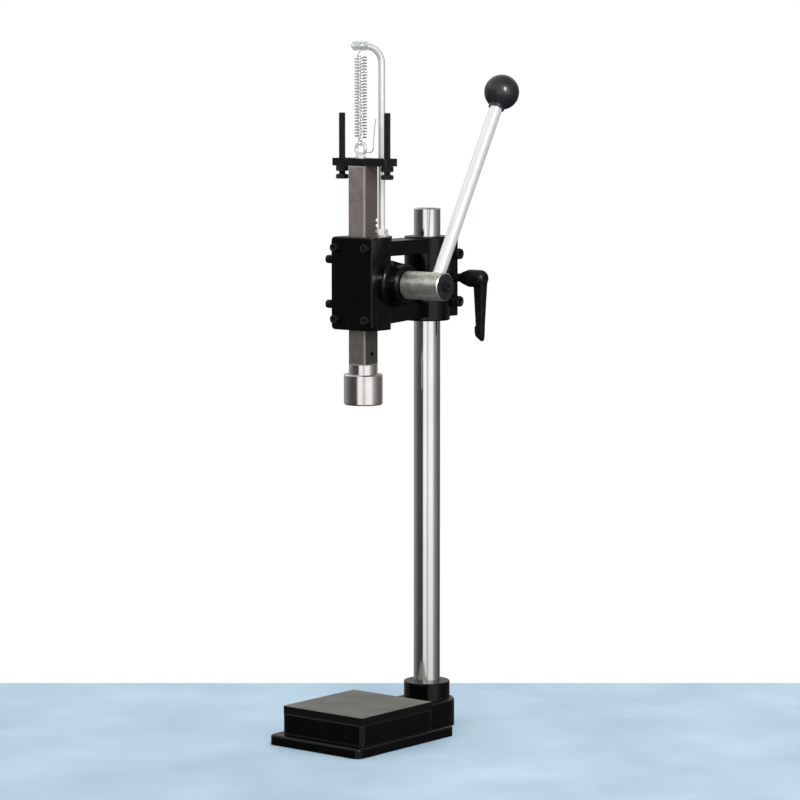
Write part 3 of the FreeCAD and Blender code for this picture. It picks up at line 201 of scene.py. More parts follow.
def base_finish():
    """Black enamel with a machined table top; the top of the column's collar is faintly bare."""
    made, tree, shader = new_material("base_finish", Specular_IOR_Level=0.32)
    colour, shine, normal = enamel_parts(tree)
    slab_low, slab_high, slab_rear = 0.0357, 0.0452, 0.0534
    collar_from, collar_share = 0.0536, 0.12
    place = add_node(tree, "SeparateXYZ", {"Vector": object_place(tree)}).outputs
    upward = faces_along(tree, "Z", 0.7)
    above = math_node(tree, "GREATER_THAN", place["Z"], slab_low)
    under = math_node(tree, "LESS_THAN", place["Z"], slab_high)
    in_front = math_node(tree, "LESS_THAN", place["Y"], slab_rear)
    slab = math_node(tree, "MULTIPLY", math_node(tree, "MULTIPLY", above, under), in_front)
    table_top = math_node(tree, "MULTIPLY", slab, upward)
    collar = math_node(tree, "GREATER_THAN", place["Z"], collar_from)
    collar_top = math_node(tree, "MULTIPLY", math_node(tree, "MULTIPLY", collar, upward), collar_share)
    machined = math_node(tree, "MAXIMUM", table_top, collar_top)

    # Arcs left by a cutter whose centre was in front of the table
    cutter, cuts_per_metre = (0.0, -0.42, 0.045), 1600
    away = add_node(tree, "VectorMath", {0: object_place(tree), 1: cutter}, operation="DISTANCE")
    along = math_node(tree, "MULTIPLY", away.outputs["Value"], cuts_per_metre)
    cuts = add_node(tree, "TexNoise", {"W": along, "Scale": 1.0, "Detail": 2.0},
                    noise_dimensions="1D").outputs["Fac"]
    stain = noise(tree, 26, detail=6, roughness=0.65)
    metal = ramp(tree, stain, [(0.30, (0.158, 0.148, 0.126)), (0.70, (0.305, 0.280, 0.243))])
    metal = blend_colour(tree, 0.35, metal, ramp(tree, cuts, [(0.3, 0.08), (0.7, 0.34)]))
    slab_side = blend_colour(tree, slab, (0.002, 0.002, 0.0022), (0.0065, 0.0055, 0.005))
    body_colour = blend_colour(tree, slab, colour, slab_side)
    drive(tree, shader, Base_Color=blend_colour(tree, machined, body_colour, metal),
          Metallic=math_node(tree, "MULTIPLY", machined, 0.75),
          Roughness=add_node(tree, "Mix", {0: machined, 2: shine, 3: 0.48}).outputs[0],
          Normal=bump(tree, cuts, 0.12, 0.00008, normal))
    return made


def bright_bar(name, colour, dark, roughness, lines, stretch, depth=0.25, **sockets):
    """Ground or drawn steel: fine lines one way, faint smears and rough patches."""
    made, tree, shader = new_material(name, **{"Metallic": 1.0, **sockets})
    fine = noise(tree, lines, stretch, detail=3)
    smear = noise(tree, 30, (1, 1, 0.4), detail=5, roughness=0.6)
    tint = ramp(tree, smear, [(0.35, dark), (0.65, colour)])
    shine = spread(tree, smear, roughness * 0.8, roughness * 1.3)
    drive(tree, shader, Base_Color=tint, Roughness=shine, Normal=bump(tree, fine, depth, 0.00003))
    return made


def ram_steel():
    """Milled bar: mottled brownish skin, darker towards the bottom, painted shade on the right face and a
    painted highlight on the corners.
    """
    made, tree, shader = new_material("ram_steel")
    grain = noise(tree, 800, (1, 1, 0.12), detail=3)
    mottle = noise(tree, 120, (1, 1, 0.6), detail=7, roughness=0.7)
    fine = noise(tree, 900, detail=4, roughness=0.7)
    skin = ramp(tree, mottle, [(0.32, (0.20, 0.155, 0.138)), (0.68, (0.37, 0.315, 0.29))])
    specks = ramp(tree, fine, [(0.35, (0.12, 0.10, 0.09)), (0.65, (0.58, 0.52, 0.50))])
    skin = blend_colour(tree, 0.30, skin, specks)
    # Darker and greener towards the bottom
    height = add_node(tree, "SeparateXYZ", {"Vector": object_place(tree)}).outputs["Z"]
    upper_share = spread(tree, height, 0.0, 1.0, 0.47, 0.60)
    skin = tinted(tree, skin, blend_colour(tree, upper_share, (0.56, 0.57, 0.50), (1.0, 0.97, 0.95)))
    # Painted shade: the right face is darkened to half
    shaded_right_face = faces_along(tree, "X", 0.7)
    skin = blend_colour(tree, shaded_right_face, skin, tinted(tree, skin, (0.50, 0.50, 0.48)))
    # Painted highlight: the corners are made near white and fully metallic
    rounded, edge = edge_wear_and_highlight(tree, 0.0020, 0.84, 0.992)
    shade = blend_colour(tree, edge, skin, (1.0, 0.98, 0.95))
    drive(tree, shader, Base_Color=shade, Normal=bump(tree, grain, 0.30, 0.00006, rounded),
          Metallic=spread(tree, edge, 0.45, 1.0, 0.0, 1.0),
          Roughness=spread(tree, mottle, 0.36, 0.56))
    return made


def turned_steel():
    """Lathe-turned steel: rings round the axis and a faint brown cast."""
    made, tree, shader = new_material("turned_steel", Metallic=1.0)
    rings = noise(tree, 1500, (0.02, 0.02, 1), detail=2)
    smear = noise(tree, 60, detail=5, roughness=0.6)
    tint = ramp(tree, smear, [(0.35, (0.86, 0.81, 0.79)), (0.65, (0.98, 0.95, 0.94))])
    drive(tree, shader, Base_Color=tint, Normal=bump(tree, rings, 0.3, 0.00004),
          Roughness=spread(tree, smear, 0.13, 0.22))
    return made


def hub_plating():
    """Dull plated hub: turned rings, cloudy and slightly yellow, with painted shade on the end face and a
    painted highlight on the edges.
    """
    made, tree, shader = new_material("hub_plating")
    rings = noise(tree, 1100, (1, 0.03, 0.03), detail=2)
    cloud = noise(tree, 70, detail=7, roughness=0.72)
    fine = noise(tree, 420, detail=4, roughness=0.7)
    tint = ramp(tree, cloud, [(0.30, (0.50, 0.51, 0.49)), (0.50, (0.86, 0.86, 0.68)),
                              (0.72, (1.0, 1.0, 0.93))])
    shade = blend_colour(tree, 0.45, tint, ramp(tree, fine, [(0.35, 0.12), (0.65, 1.0)]))
    # Painted shade: the end face is darkened
    shaded_end_face = faces_along(tree, "X", 0.9)
    shade = blend_colour(tree, shaded_end_face, shade, tinted(tree, shade, (0.13, 0.13, 0.15)))
    # Painted highlight: the edges are made white
    rounded, edge = edge_wear_and_highlight(tree, 0.0012, 0.78, 0.985)
    shade = blend_colour(tree, edge, shade, (1.0, 1.0, 1.0))
    soft = bump(tree, rings, 0.35, 0.00005, bump(tree, fine, 0.2, 0.00008, rounded))
    drive(tree, shader, Base_Color=shade, Normal=soft,
          Metallic=spread(tree, edge, 0.9, 0.95, 0.0, 1.0),
          Roughness=spread(tree, cloud, 0.28, 0.46))
    return made


def zinc_plating():
    """Smooth pale plating with faint clouds."""
    made, tree, shader = new_material("zinc_plating", Metallic=0.52)
    cloud = noise(tree, 110, detail=3, roughness=0.55)
    tint = ramp(tree, cloud, [(0.35, (0.965, 0.965, 0.955)), (0.65, (1.0, 1.0, 0.99))])
    drive(tree, shader, Base_Color=tint, Normal=bump(tree, noise(tree, 500), 0.012, 0.00002),
          Roughness=spread(tree, cloud, 0.13, 0.22))
    return made


def black_oxide():
    """Oiled black oxide: nearly black, satin, with rubbed edges."""
    made, tree, shader = new_material("black_oxide", Metallic=0.35, Specular_IOR_Level=0.4)
    cloud = noise(tree, 240, detail=6, roughness=0.7)
    tint = ramp(tree, cloud, [(0.35, (0.006, 0.006, 0.0065)), (0.70, (0.022, 0.021, 0.020))])
    _, edge = edge_wear_and_highlight(tree, 0.0004, 0.80, 0.97)
    shade = blend_colour(tree, math_node(tree, "MULTIPLY", edge, 0.35), tint, (0.16, 0.16, 0.155))
    drive(tree, shader, Base_Color=shade, Normal=bump(tree, cloud, 0.15, 0.0001),
          Roughness=spread(tree, cloud, 0.34, 0.55))
    return made


def knob_plastic():
    """Polished phenolic ball: deep gloss with hair-fine rub marks."""
    made, tree, shader = new_material("knob_plastic", Specular_IOR_Level=0.46, Coat_Weight=0.34,
                                      Coat_Roughness=0.10)
    marks = noise(tree, 520, (1, 1, 0.3), detail=5, roughness=0.7)
    tint = ramp(tree, marks, [(0.4, (0.0150, 0.0158, 0.0182)), (0.8, (0.0215, 0.0222, 0.0248))])
    drive(tree, shader, Base_Color=tint, Normal=bump(tree, marks, 0.05, 0.00006),
          Roughness=spread(tree, marks, 0.36, 0.46, 0.4, 0.8))
    return made


def handle_nylon():
    """Satin moulded nylon with a spark-eroded texture."""
    made, tree, shader = new_material("handle_nylon", Specular_IOR_Level=0.30)
    grain = noise(tree, 1500, detail=3, roughness=0.6)
    cloud = noise(tree, 90, detail=4)
    tint = ramp(tree, cloud, [(0.35, (0.0035, 0.0035, 0.004)), (0.7, (0.008, 0.008, 0.008))])
    drive(tree, shader, Base_Color=tint, Normal=bump(tree, grain, 0.35, 0.00009),
          Roughness=spread(tree, cloud, 0.36, 0.50))
    return made


def warm_metal(name, low, high):
    """Brass or bronze with tarnish clouds."""
    made, tree, shader = new_material(name, Metallic=1.0)
    cloud = noise(tree, 110, detail=6, roughness=0.7)
    drive(tree, shader, Base_Color=ramp(tree, cloud, [(0.3, low), (0.7, high)]),
          Normal=bump(tree, noise(tree, 700), 0.2, 0.00006),
          Roughness=spread(tree, cloud, 0.25, 0.45))
    return made


FINISH = {
    "black_paint": black_enamel(),
    "ground_steel": bright_bar("ground_steel", (0.94, 0.93, 0.92), (0.84, 0.83, 0.82), roughness=0.10,
                               lines=900, stretch=(0.05, 0.05, 1)),
    "black_oxide": black_oxide(),
    "brass": warm_metal("brass", (0.42, 0.30, 0.12), (0.68, 0.52, 0.25)),
    "bronze": warm_metal("bronze", (0.06, 0.045, 0.035), (0.14, 0.10, 0.07)),
    "zinc_plate": zinc_plating(),
    "blued_steel": ram_steel(),
    "turned_steel": turned_steel(),
    "magnet": bright_bar("magnet_nickel", (0.66, 0.65, 0.62), (0.50, 0.49, 0.47), roughness=0.2,
                         lines=500, stretch=(1, 1, 1)),
    "spring_wire": bright_bar("spring_wire", (0.95, 0.95, 0.95), (0.84, 0.84, 0.85), roughness=0.14,
                              lines=500, stretch=(1, 1, 1), depth=0.08, Metallic=0.84),
    "hub_zinc": hub_plating(),
    "lever_chrome": bright_bar("lever_chrome", (0.99, 0.99, 0.99), (0.97, 0.97, 0.97), roughness=0.24,
                               lines=700, stretch=(1, 1, 0.2), depth=0.04, Metallic=0.42),
    "black_plastic": knob_plastic(),
    "handle_plastic": handle_nylon(),
}
SLOT_OF = {part["node"]: part["material_slot"] for part in frame["record"]["subparts"]}
BODY_OF = {node: body for body, nodes in frame["record"]["behaviour"]["bodies"].items() for node in nodes}


def dress_cad():
    """Every CAD node gets the finish of its material slot; the base also has machined faces."""
    machined = base_finish()
    for name, node in NODES.items():
        finish = machined if name == "base_casting" else FINISH[SLOT_OF[name]]
        for slot in node.material_slots:
            slot.material = finish


# Mesh helpers, in millimetres

def facing(at, direction):
    """Matrix that puts a piece's own origin at a place and its Z along a direction."""
    return Matrix.Translation(Vector(at)) @ Vector(direction).to_track_quat("Z", "X").to_matrix().to_4x4()


def rings_mesh(rings, closed=True):
    """Skin a list of rings that hold as many points each; closed ends are fans."""
    count = len(rings[0])
    points = [p for ring in rings for p in ring]
    faces = [(row * count + k, row * count + (k + 1) % count, (row + 1) * count + (k + 1) % count,
              (row + 1) * count + k) for row in range(len(rings) - 1) for k in range(count)]
    ends = ((0, True), (len(rings) - 1, False)) if closed else ()
    for row, flip in ends:
        centre = sum((Vector(p) for p in rings[row]), Vector()) / count
        points.append(tuple(centre))
        for k in range(count):
            a, b = row * count + k, row * count + (k + 1) % count
            faces.append((len(points) - 1, b, a) if flip else (len(points) - 1, a, b))
    return points, faces


def lathe_rings(profile, count):
    """Rings about Z from (radius, height) pairs; either may be a function of the turn."""
    rings = []
    for radius, height in profile:
        ring = []
        for k in range(count):
            turn = TURN * k / count
            r = radius(turn) if callable(radius) else radius
            z = height(turn) if callable(height) else height
            ring.append((r * math.cos(turn), r * math.sin(turn), z))
        rings.append(ring)
    return rings


def make_piece(name, parts, node, smooth=38, rides=True):
    """Join (points, faces, matrix) parts in millimetres into one object that stands for a CAD node."""
    mesh = bpy.data.meshes.new(name)
    points, faces = [], []
    for part_points, part_faces, matrix in parts:
        start = len(points)
        points += [matrix @ Vector(p) * MM if matrix else Vector(p) * MM for p in part_points]
        faces += [tuple(start + k for k in face) for face in part_faces]
    mesh.from_pydata(points, [], faces)
    shaped = bmesh.new()
    shaped.from_mesh(mesh)
    bmesh.ops.recalc_face_normals(shaped, faces=shaped.faces)
    shaped.to_mesh(mesh)
    shaped.free()
    mesh.polygons.foreach_set("use_smooth", [True] * len(mesh.polygons))
    mesh.set_sharp_from_angle(angle=math.radians(smooth))
    piece = bpy.data.objects.new(name, mesh)
    bpy.context.scene.collection.objects.link(piece)
    slot = SLOT_OF[node]
    mesh.materials.append(FINISH[slot])
    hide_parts(node)
    if rides:
        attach(piece, BODY_OF[node])
    return piece


def islands(node):
    """Lowest and highest corner, in millimetres, of each separate solid in a CAD node."""
    shaped = bmesh.new()
    shaped.from_mesh(NODES[node].data)
    bmesh.ops.remove_doubles(shaped, verts=shaped.verts, dist=0.00001)
    left, boxes = set(shaped.verts), []
    while left:
        queue, members = [left.pop()], []
        while queue:
            vertex = queue.pop()
            members.append(vertex.co.copy() / MM)
            for edge in vertex.link_edges:
                other = edge.other_vert(vertex)
                if other in left:
                    left.remove(other)
                    queue.append(other)
        low = Vector(min(p[i] for p in members) for i in range(3))
        high = Vector(max(p[i] for p in members) for i in range(3))
        boxes.append((low, high))
    shaped.free()
    return sorted(boxes, key=lambda box: tuple(round(x, 2) for x in box[0]))


def box_mm(node):
    low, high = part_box(node)
    return low / MM, high / MM


def sweep(points, radius, sides):
    """Round tube along points, its ring turning no more than the path does."""
    path = [Vector(p) for p in points]
    ways = [(b - a).normalized() for a, b in zip(path, path[1:])]
    tangents = [ways[0]] + [(a + b).normalized() for a, b in zip(ways, ways[1:])] + [ways[-1]]
    side = tangents[0].orthogonal().normalized()
    rings, length = [], 0.0
    for k, (place, tangent) in enumerate(zip(path, tangents)):
        side = (side - tangent * side.dot(tangent)).normalized()
        across = tangent.cross(side)
        if k:
            length += (place - path[k - 1]).length
        ring = []
        for n in range(sides):
            turn = TURN * n / sides
            r = radius(length, turn) if callable(radius) else radius
            ring.append(tuple(place + (side * math.cos(turn) + across * math.sin(turn)) * r))
        rings.append(ring)
    return rings_mesh(rings)


def thread(outer, pitch, depth):
    """Function for the radius of a screw thread at a height and a turn: crest, flank, root, flank."""
    steepness, crest = 1.35, 0.3

    def radius(height, turn):
        phase = (height / pitch - turn / TURN) % 1
        return outer - depth * min(1.0, max(0.0, steepness * (1 - abs(2 * phase - 1)) - crest))

    return radius


def threaded_rod(outer, pitch, length):
    """Threaded shank from z 0 up, with a chamfered tip."""
    sides, rows_per_turn = 24, 6
    radius = thread(outer, pitch, 0.45 * pitch)
    steps = int(length / pitch * rows_per_turn)
    rings = []
    for row in range(steps + 1):
        height = length * row / steps
        limit = outer - max(0.0, 0.8 * pitch - (length - height))
        ring = []
        for k in range(sides):
            turn = TURN * k / sides
            r = min(radius(height, turn), limit)
            ring.append((r * math.cos(turn), r * math.sin(turn), height))
        rings.append(ring)
    return rings_mesh(rings)


def hex_radius(flats, turn):
    """Distance from the axis to a hexagon's side."""
    sector = (turn + math.pi / 6) % (math.pi / 3) - math.pi / 6
    return flats / 2 / math.cos(sector)


def hex_block(flats, thick, bore=0.0):
    """Hexagon nut, or head without a bore, with the usual 30 degree chamfers."""
    count, bevel = 72, 0.5
    crown = 0.475 * flats
    slope = math.tan(math.radians(30))

    def side(turn):
        return hex_radius(flats, turn)

    def drop(turn):
        return (side(turn) - crown) * slope

    def upper(turn):
        return thick - drop(turn)

    profile = [(crown, 0.0), (side, drop), (side, upper), (crown, thick)]
    if bore:
        profile = ([(bore, thick / 2), (bore, bevel), (bore + bevel, 0.0)] + profile
                   + [(bore + bevel, thick), (bore, thick - bevel), (bore, thick / 2)])
    return rings_mesh(lathe_rings(profile, count), not bore)


def cap_head(radius, thick, key):
    """Knurled socket head that stands on z 0, with a hexagon socket in its top."""
    count = 96
    bevel, knurl = radius / 12, radius * 0.03
    deep = thick * 0.55

    def knurled(turn):
        return radius - knurl * (round(turn / TURN * count) % 2)

    def socket(turn):
        return hex_radius(key, turn)

    def mouth(turn):
        return socket(turn) + bevel * 0.7

    profile = [(radius - bevel, 0.0), (radius, bevel), (knurled, bevel * 1.6),
               (knurled, thick - bevel * 2.2), (radius, thick - bevel * 1.6),
               (radius - bevel * 0.4, thick - bevel * 0.3), (radius - bevel * 1.2, thick),
               (mouth, thick), (socket, thick - bevel * 0.7), (socket, thick - deep),
               (0.35 * key, thick - deep - 0.1 * key)]
    return rings_mesh(lathe_rings(profile, count))


def plain_shank(radius, length, into):
    """Screw shank down from z 0 with a chamfered end, reaching into the head."""
    return rings_mesh(lathe_rings([(radius - 0.4, -length), (radius, -length + 0.5), (radius, into)], 32))


# Detailed pieces

def make_cap_screws(node, axis, sign, head, thick, shank, key, pitch=None):
    """Socket screws of a CAD node: each solid's box gives its axis and its head's outer end.

    The sizes are the head's radius and thickness, the shank's radius and the socket's flats.
    """
    index = "XYZ".index(axis)
    direction = Vector([sign if k == index else 0 for k in range(3)])
    parts = []
    for low, high in islands(node):
        middle = (low + high) / 2
        outer = high[index] if sign > 0 else low[index]
        at = middle.copy()
        at[index] = outer - sign * thick
        length = (high - low)[index] - thick
        matrix = facing(at, direction)
        parts.append((*cap_head(head, thick, key), matrix))
        if pitch:
            parts.append((*threaded_rod(shank, pitch, length), facing(at, -direction)))
        else:
            parts.append((*plain_shank(shank, length, 0.2), matrix))
    return make_piece(node + "_detail", parts, node)


def make_nuts(node, axis, flats, bore):
    """Hexagon nuts of a CAD node, each as thick as its solid."""
    index = "XYZ".index(axis)
    parts = []
    for low, high in islands(node):
        at = (low + high) / 2
        at[index] = low[index]
        thick = (high - low)[index]
        direction = [1 if k == index else 0 for k in range(3)]
        parts.append((*hex_block(flats, thick, bore), facing(at, direction)))
    return make_piece(node + "_detail", parts, node)


def make_stop_bolts():
    """Hexagon bolts with their heads below, threaded over the whole shank."""
    flats, shank, pitch, head = 13.0, 3.98, 1.25, 5.5
    parts = []
    for low, high in islands("stop_bolts"):
        at = (low + high) / 2
        foot, neck = (at.x, at.y, low.z), (at.x, at.y, low.z + head)
        parts.append((*hex_block(flats, head), facing(foot, (0, 0, 1))))
        parts.append((*threaded_rod(shank, pitch, high.z - low.z - head), facing(neck, (0, 0, 1))))
    return make_piece("stop_bolts_detail", parts, "stop_bolts")


# Spring rod and spring, in millimetres
ROD_FOOT = Vector((10.4, 21.8, 584.6))
ROD_TOP, ROD_BEND, ROD_REACH, ROD_RADIUS = 820.5, 20.5, 37.7, 4.0
TIP_RADIUS = 3.0
SPRING_AXIS = Vector((-2.2, -1.5, 0.0))
ROD_WAY = (SPRING_AXIS - Vector((ROD_FOOT.x, ROD_FOOT.y, 0))).normalized()


def make_spring_rod():
    """Bent rod with a thread cut at its foot and its tip."""
    pitch, foot_thread, tip_thread, bevel = 1.25, 19.0, 16.5, 0.8
    on_thread, on_plain, on_reach, bend_steps = pitch / 6, 4.0, 0.8, 30
    turn_height = ROD_TOP - ROD_BEND
    points = []
    height = 0.0
    rise = turn_height - ROD_FOOT.z
    while height < rise - 0.1:
        points.append(ROD_FOOT + Vector((0, 0, height)))
        height += on_thread if height < foot_thread else on_plain
    for step in range(bend_steps + 1):
        turn = math.pi / 2 * step / bend_steps
        out = ROD_BEND * (1 - math.cos(turn))
        height = turn_height + ROD_BEND * math.sin(turn)
        points.append(Vector((ROD_FOOT.x, ROD_FOOT.y, height)) + ROD_WAY * out)
    along = ROD_BEND + on_reach
    while along < ROD_REACH:
        points.append(Vector((ROD_FOOT.x, ROD_FOOT.y, ROD_TOP)) + ROD_WAY * along)
        along += on_thread if along > ROD_REACH - tip_thread else on_reach
    points.append(Vector((ROD_FOOT.x, ROD_FOOT.y, ROD_TOP)) + ROD_WAY * ROD_REACH)
    whole = rise + ROD_BEND * math.pi / 2 + ROD_REACH - ROD_BEND
    foot_cut = thread(ROD_RADIUS, pitch, 0.55 * pitch)
    tip_cut = thread(TIP_RADIUS, 1.0, 0.55)

    def radius(length, turn):
        plain = ROD_RADIUS - max(0.0, bevel - (whole - length)) - max(0.0, bevel - length)
        if length > whole - tip_thread:
            return min(tip_cut(length, turn), plain + TIP_RADIUS - ROD_RADIUS)
        return min(foot_cut(length, turn), plain) if length < foot_thread else plain

    return make_piece("spring_rod_detail", [(*sweep(points, radius, 28), None)], "spring_rod")


def make_tip_nuts():
    """The two nuts on the rod's tip, each placed from the CAD solid's own box."""
    flats, full, thin, wide_box = 10.5, 6.5, 3.25, 8.5
    parts = []
    for low, high in islands("spring_rod_tip_nuts"):
        middle = (low + high) / 2
        thick = full if (high - low).y > wide_box else thin
        at = Vector((middle.x, middle.y, ROD_TOP)) - ROD_WAY * thick / 2
        parts.append((*hex_block(flats, thick, TIP_RADIUS), facing(at, ROD_WAY)))
    return make_piece("spring_rod_tip_nuts_detail", parts, "spring_rod_tip_nuts")


def helix(radius, low, high, turns, start, per_turn=30):
    """Points up a coil; a negative number of turns winds it left-handed."""
    steps = int(abs(turns) * per_turn)
    return [Vector((radius * math.cos(start + TURN * turns * k / steps),
                    radius * math.sin(start + TURN * turns * k / steps),
                    low + (high - low) * k / steps)) for k in range(steps + 1)]


def smooth_path(points, per_run):
    """Catmull-Rom curve through points."""
    made = []
    for k in range(len(points) - 1):
        before = points[max(k - 1, 0)]
        a, b = points[k], points[k + 1]
        after = points[min(k + 2, len(points) - 1)]
        for n in range(per_run):
            t = n / per_run
            made.append(0.5 * ((2 * a) + (b - before) * t + (2 * before - 5 * a + 4 * b - after) * t * t
                               + (3 * a - before - 3 * b + after) * t ** 3))
    return made + [points[-1]]


def make_return_spring():
    """Open coil with a loop round the eye below and a loop round the rod's tip above."""
    wire, outer, turns = 0.7, 7.6, -27.5
    coil_foot, coil_head, eye_height = 713.0, 809.0, 708.0
    hook_low, hook_high = 3.0, 4.0
    coil = outer - wire
    low, high = coil_foot + wire, coil_head - wire
    eye = Vector((0, 0, eye_height))
    tip = Vector((0, 0, ROD_TOP))
    start = math.radians(120)
    body = helix(coil, low, high, turns, start)
    finish = start + TURN * turns

    def on_coil(share, turn, height):
        return Vector((coil * share * math.cos(turn), coil * share * math.sin(turn), height))

    # Lower loop lies in the YZ plane round the top of the eye
    lower = []
    for step in range(20):
        turn = math.radians(200 - 300 * step / 19)
        lower.append(eye + Vector((0, hook_low * math.sin(turn), hook_low * math.cos(turn))))
    rise = [on_coil(0.55, start + 0.9, low - 1.0), on_coil(0.92, start + 0.45, low - 0.35)]
    # Upper loop lies across the rod
    across = ROD_WAY.cross(Vector((0, 0, 1)))
    bend = [on_coil(0.92, finish - 0.45, high + 0.4), on_coil(0.5, finish - 0.9, high + 2.2)]
    upper = []
    for step in range(24):
        turn = math.radians(-150 + 310 * step / 23)
        up = Vector((0, 0, hook_high * math.cos(turn)))
        upper.append(tip + across * hook_high * math.sin(turn) + up)
    path = smooth_path(lower + rise + [body[0]], 3)[:-1] + body
    path += smooth_path([body[-1]] + bend + upper, 3)[1:]
    tube = sweep([p + SPRING_AXIS for p in path], wire, 10)
    piece = make_piece("return_spring_coil", [(*tube, None)], "return_spring", rides=False)
    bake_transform(piece)
    return piece


def make_wire_tail():
    """Springy loose end: in at the front of the eye, round behind it and up beside the rod."""
    low, high = box_mm("wire_tail")
    radius = 0.55
    rest, back = low.z + radius, high.y - radius
    points = [Vector((SPRING_AXIS.x, low.y + 0.6, rest)), Vector((SPRING_AXIS.x, SPRING_AXIS.y, rest)),
              Vector((-0.6, back - 0.4, rest)), Vector((5.0, back, rest + 0.1)),
              Vector((11.0, back, rest + 0.5)), Vector((14.0, back, rest + 4.0)),
              Vector((15.1, back, rest + 14.0)), Vector((16.8, back - 0.2, rest + 30.0)),
              Vector((high.x - radius, back, high.z - 0.3))]
    tube = sweep(smooth_path(points, 8), radius, 10)
    return make_piece("wire_tail_bent", [(*tube, None)], "wire_tail")


def make_clamp_spring():
    """Small coil inside the clamp handle."""
    low, high = box_mm("clamp_handle_spring")
    wire, outer, turns = 0.45, 4.2, 5.5
    points = helix(outer - wire, wire, high.x - low.x - wire, turns, 0.0, 24)
    matrix = facing((low.x, (low.y + high.y) / 2, (low.z + high.z) / 2), (1, 0, 0))
    return make_piece("clamp_handle_coil", [(*sweep(points, wire, 8), matrix)], "clamp_handle_spring")


def make_clamp_handle():
    """Adjustable handle: scalloped cone, domed hub and a ribbed arm with a stepped, slanted tip."""
    longer, thicker = 1.5, 0.5
    low, high = box_mm("clamp_handle")
    cad_radius = (high.y - low.y) / 2
    axis = Vector((low.x, (low.y + high.y) / 2, high.z - cad_radius))
    radius = cad_radius + thicker
    whole, dome, cone = high.x - low.x + longer, 9.0, 12.5
    bore, bore_deep, recess, recess_deep = 4.9, 12.2, 4.5, 17.0
    neck, neck_height, flutes, flute_deep = 6.3, 0.8, 12, 1.1

    def scallop(share):
        base = neck + (radius - neck) * share ** 0.8
        depth = flute_deep * math.sin(math.pi * min(1.0, share)) ** 0.7 if share < 1 else 0.0
        return lambda turn: base - depth * (0.5 - 0.5 * math.cos(flutes * turn)) ** 1.5

    profile = [(bore, bore_deep), (bore, 0.3), (bore + 0.3, 0.0), (5.9, 0.0), (6.2, 0.4)]
    profile += [(scallop(step / 10), neck_height + (cone - neck_height) * step / 10) for step in range(11)]
    profile += [(radius, cone + 4), (radius, whole - dome)]
    for step in range(1, 13):
        r = radius - (radius - recess - 0.4) * step / 12
        profile.append((r, whole - dome + dome * 0.985 * math.sqrt(1 - (r / radius) ** 2.4)))
    top = profile[-1][1]
    profile += [(recess, top - 0.4), (recess, whole - recess_deep)]
    hub = (*rings_mesh(lathe_rings(profile, 96)), facing(axis, (1, 0, 0)))

    # Arm sections hang below the hub: half breadths to the left and right, half depth, drop
    arm_inset, drawn_length, soft = 9.05, 75.0, 1.3
    slant, slant_from = 5.2, 60.0
    middle = whole - arm_inset
    length = axis.z - low.z
    sections = [(6.9, 6.9, 6.0, 0.0), (6.6, 6.6, 5.8, 9.0), (5.6, 5.7, 5.0, 30.0),
                (4.7, 4.9, 4.2, 52.0), (4.45, 4.75, 4.0, 56.4), (5.9, 4.7, 4.1, 57.6),
                (6.3, 4.65, 4.15, 59.0), (6.1, 4.5, 4.0, 66.0), (5.7, 4.3, 3.7, 71.5),
                (5.1, 3.8, 3.1, 74.2), (4.4, 3.3, 2.6, 75.0)]
    rings = []
    for left, right, deep, drop in sections:
        ring = []
        for sx, sy, start in ((1, 1, 0), (-1, 1, 90), (-1, -1, 180), (1, -1, 270)):
            side = right if sx > 0 else left
            for step in range(6):
                turn = math.radians(start + 90 * step / 5)
                x = sx * (side - soft) + soft * math.cos(turn)
                y = sy * (deep - soft) + soft * math.sin(turn)
                late = max(0.0, (drop - slant_from) / (length - slant_from))
                up = slant * late * max(0.0, (right - x) / (left + right))
                fall = drop * length / drawn_length
                ring.append((axis.x + middle + x, axis.y + y, axis.z - fall + up))
        rings.append(ring)
    arm = (*rings_mesh(rings), None)
    return make_piece("clamp_handle_grip", [hub, arm], "clamp_handle", smooth=32)


# Stage, lights and camera

def make_stage():
    """Pale blue table top that ends behind the object."""
    table = bpy.data.meshes.new("table")
    view = math.radians(CAMERA_HEADING)
    ahead = Vector((-math.sin(view), math.cos(view), 0))
    right = Vector((math.cos(view), math.sin(view), 0))
    eye = Vector((CAMERA_AT[0], CAMERA_AT[1], 0))
    # Distances from the camera and half the breadth
    near, far, half = 2.9, 4.197, 1.5
    corners = [eye + ahead * near - right * half, eye + ahead * near + right * half,
               eye + ahead * far + right * half, eye + ahead * far - right * half]
    table.from_pydata(corners, [], [(0, 1, 2, 3)])
    floor = bpy.data.objects.new("table", table)
    bpy.context.scene.collection.objects.link(floor)
    made, tree, shader = new_material("table_top", Specular_IOR_Level=0.25)
    cloud = noise(tree, 6, detail=5, roughness=0.6)
    blue = ramp(tree, cloud, [(0.3, (0.40, 0.55, 0.68)), (0.7, (0.53, 0.68, 0.79))])
    drive(tree, shader, Base_Color=blue, Roughness=ramp(tree, cloud, [(0.3, 0.45), (0.7, 0.6)]))
    table.materials.append(made)
    floor.visible_glossy = False


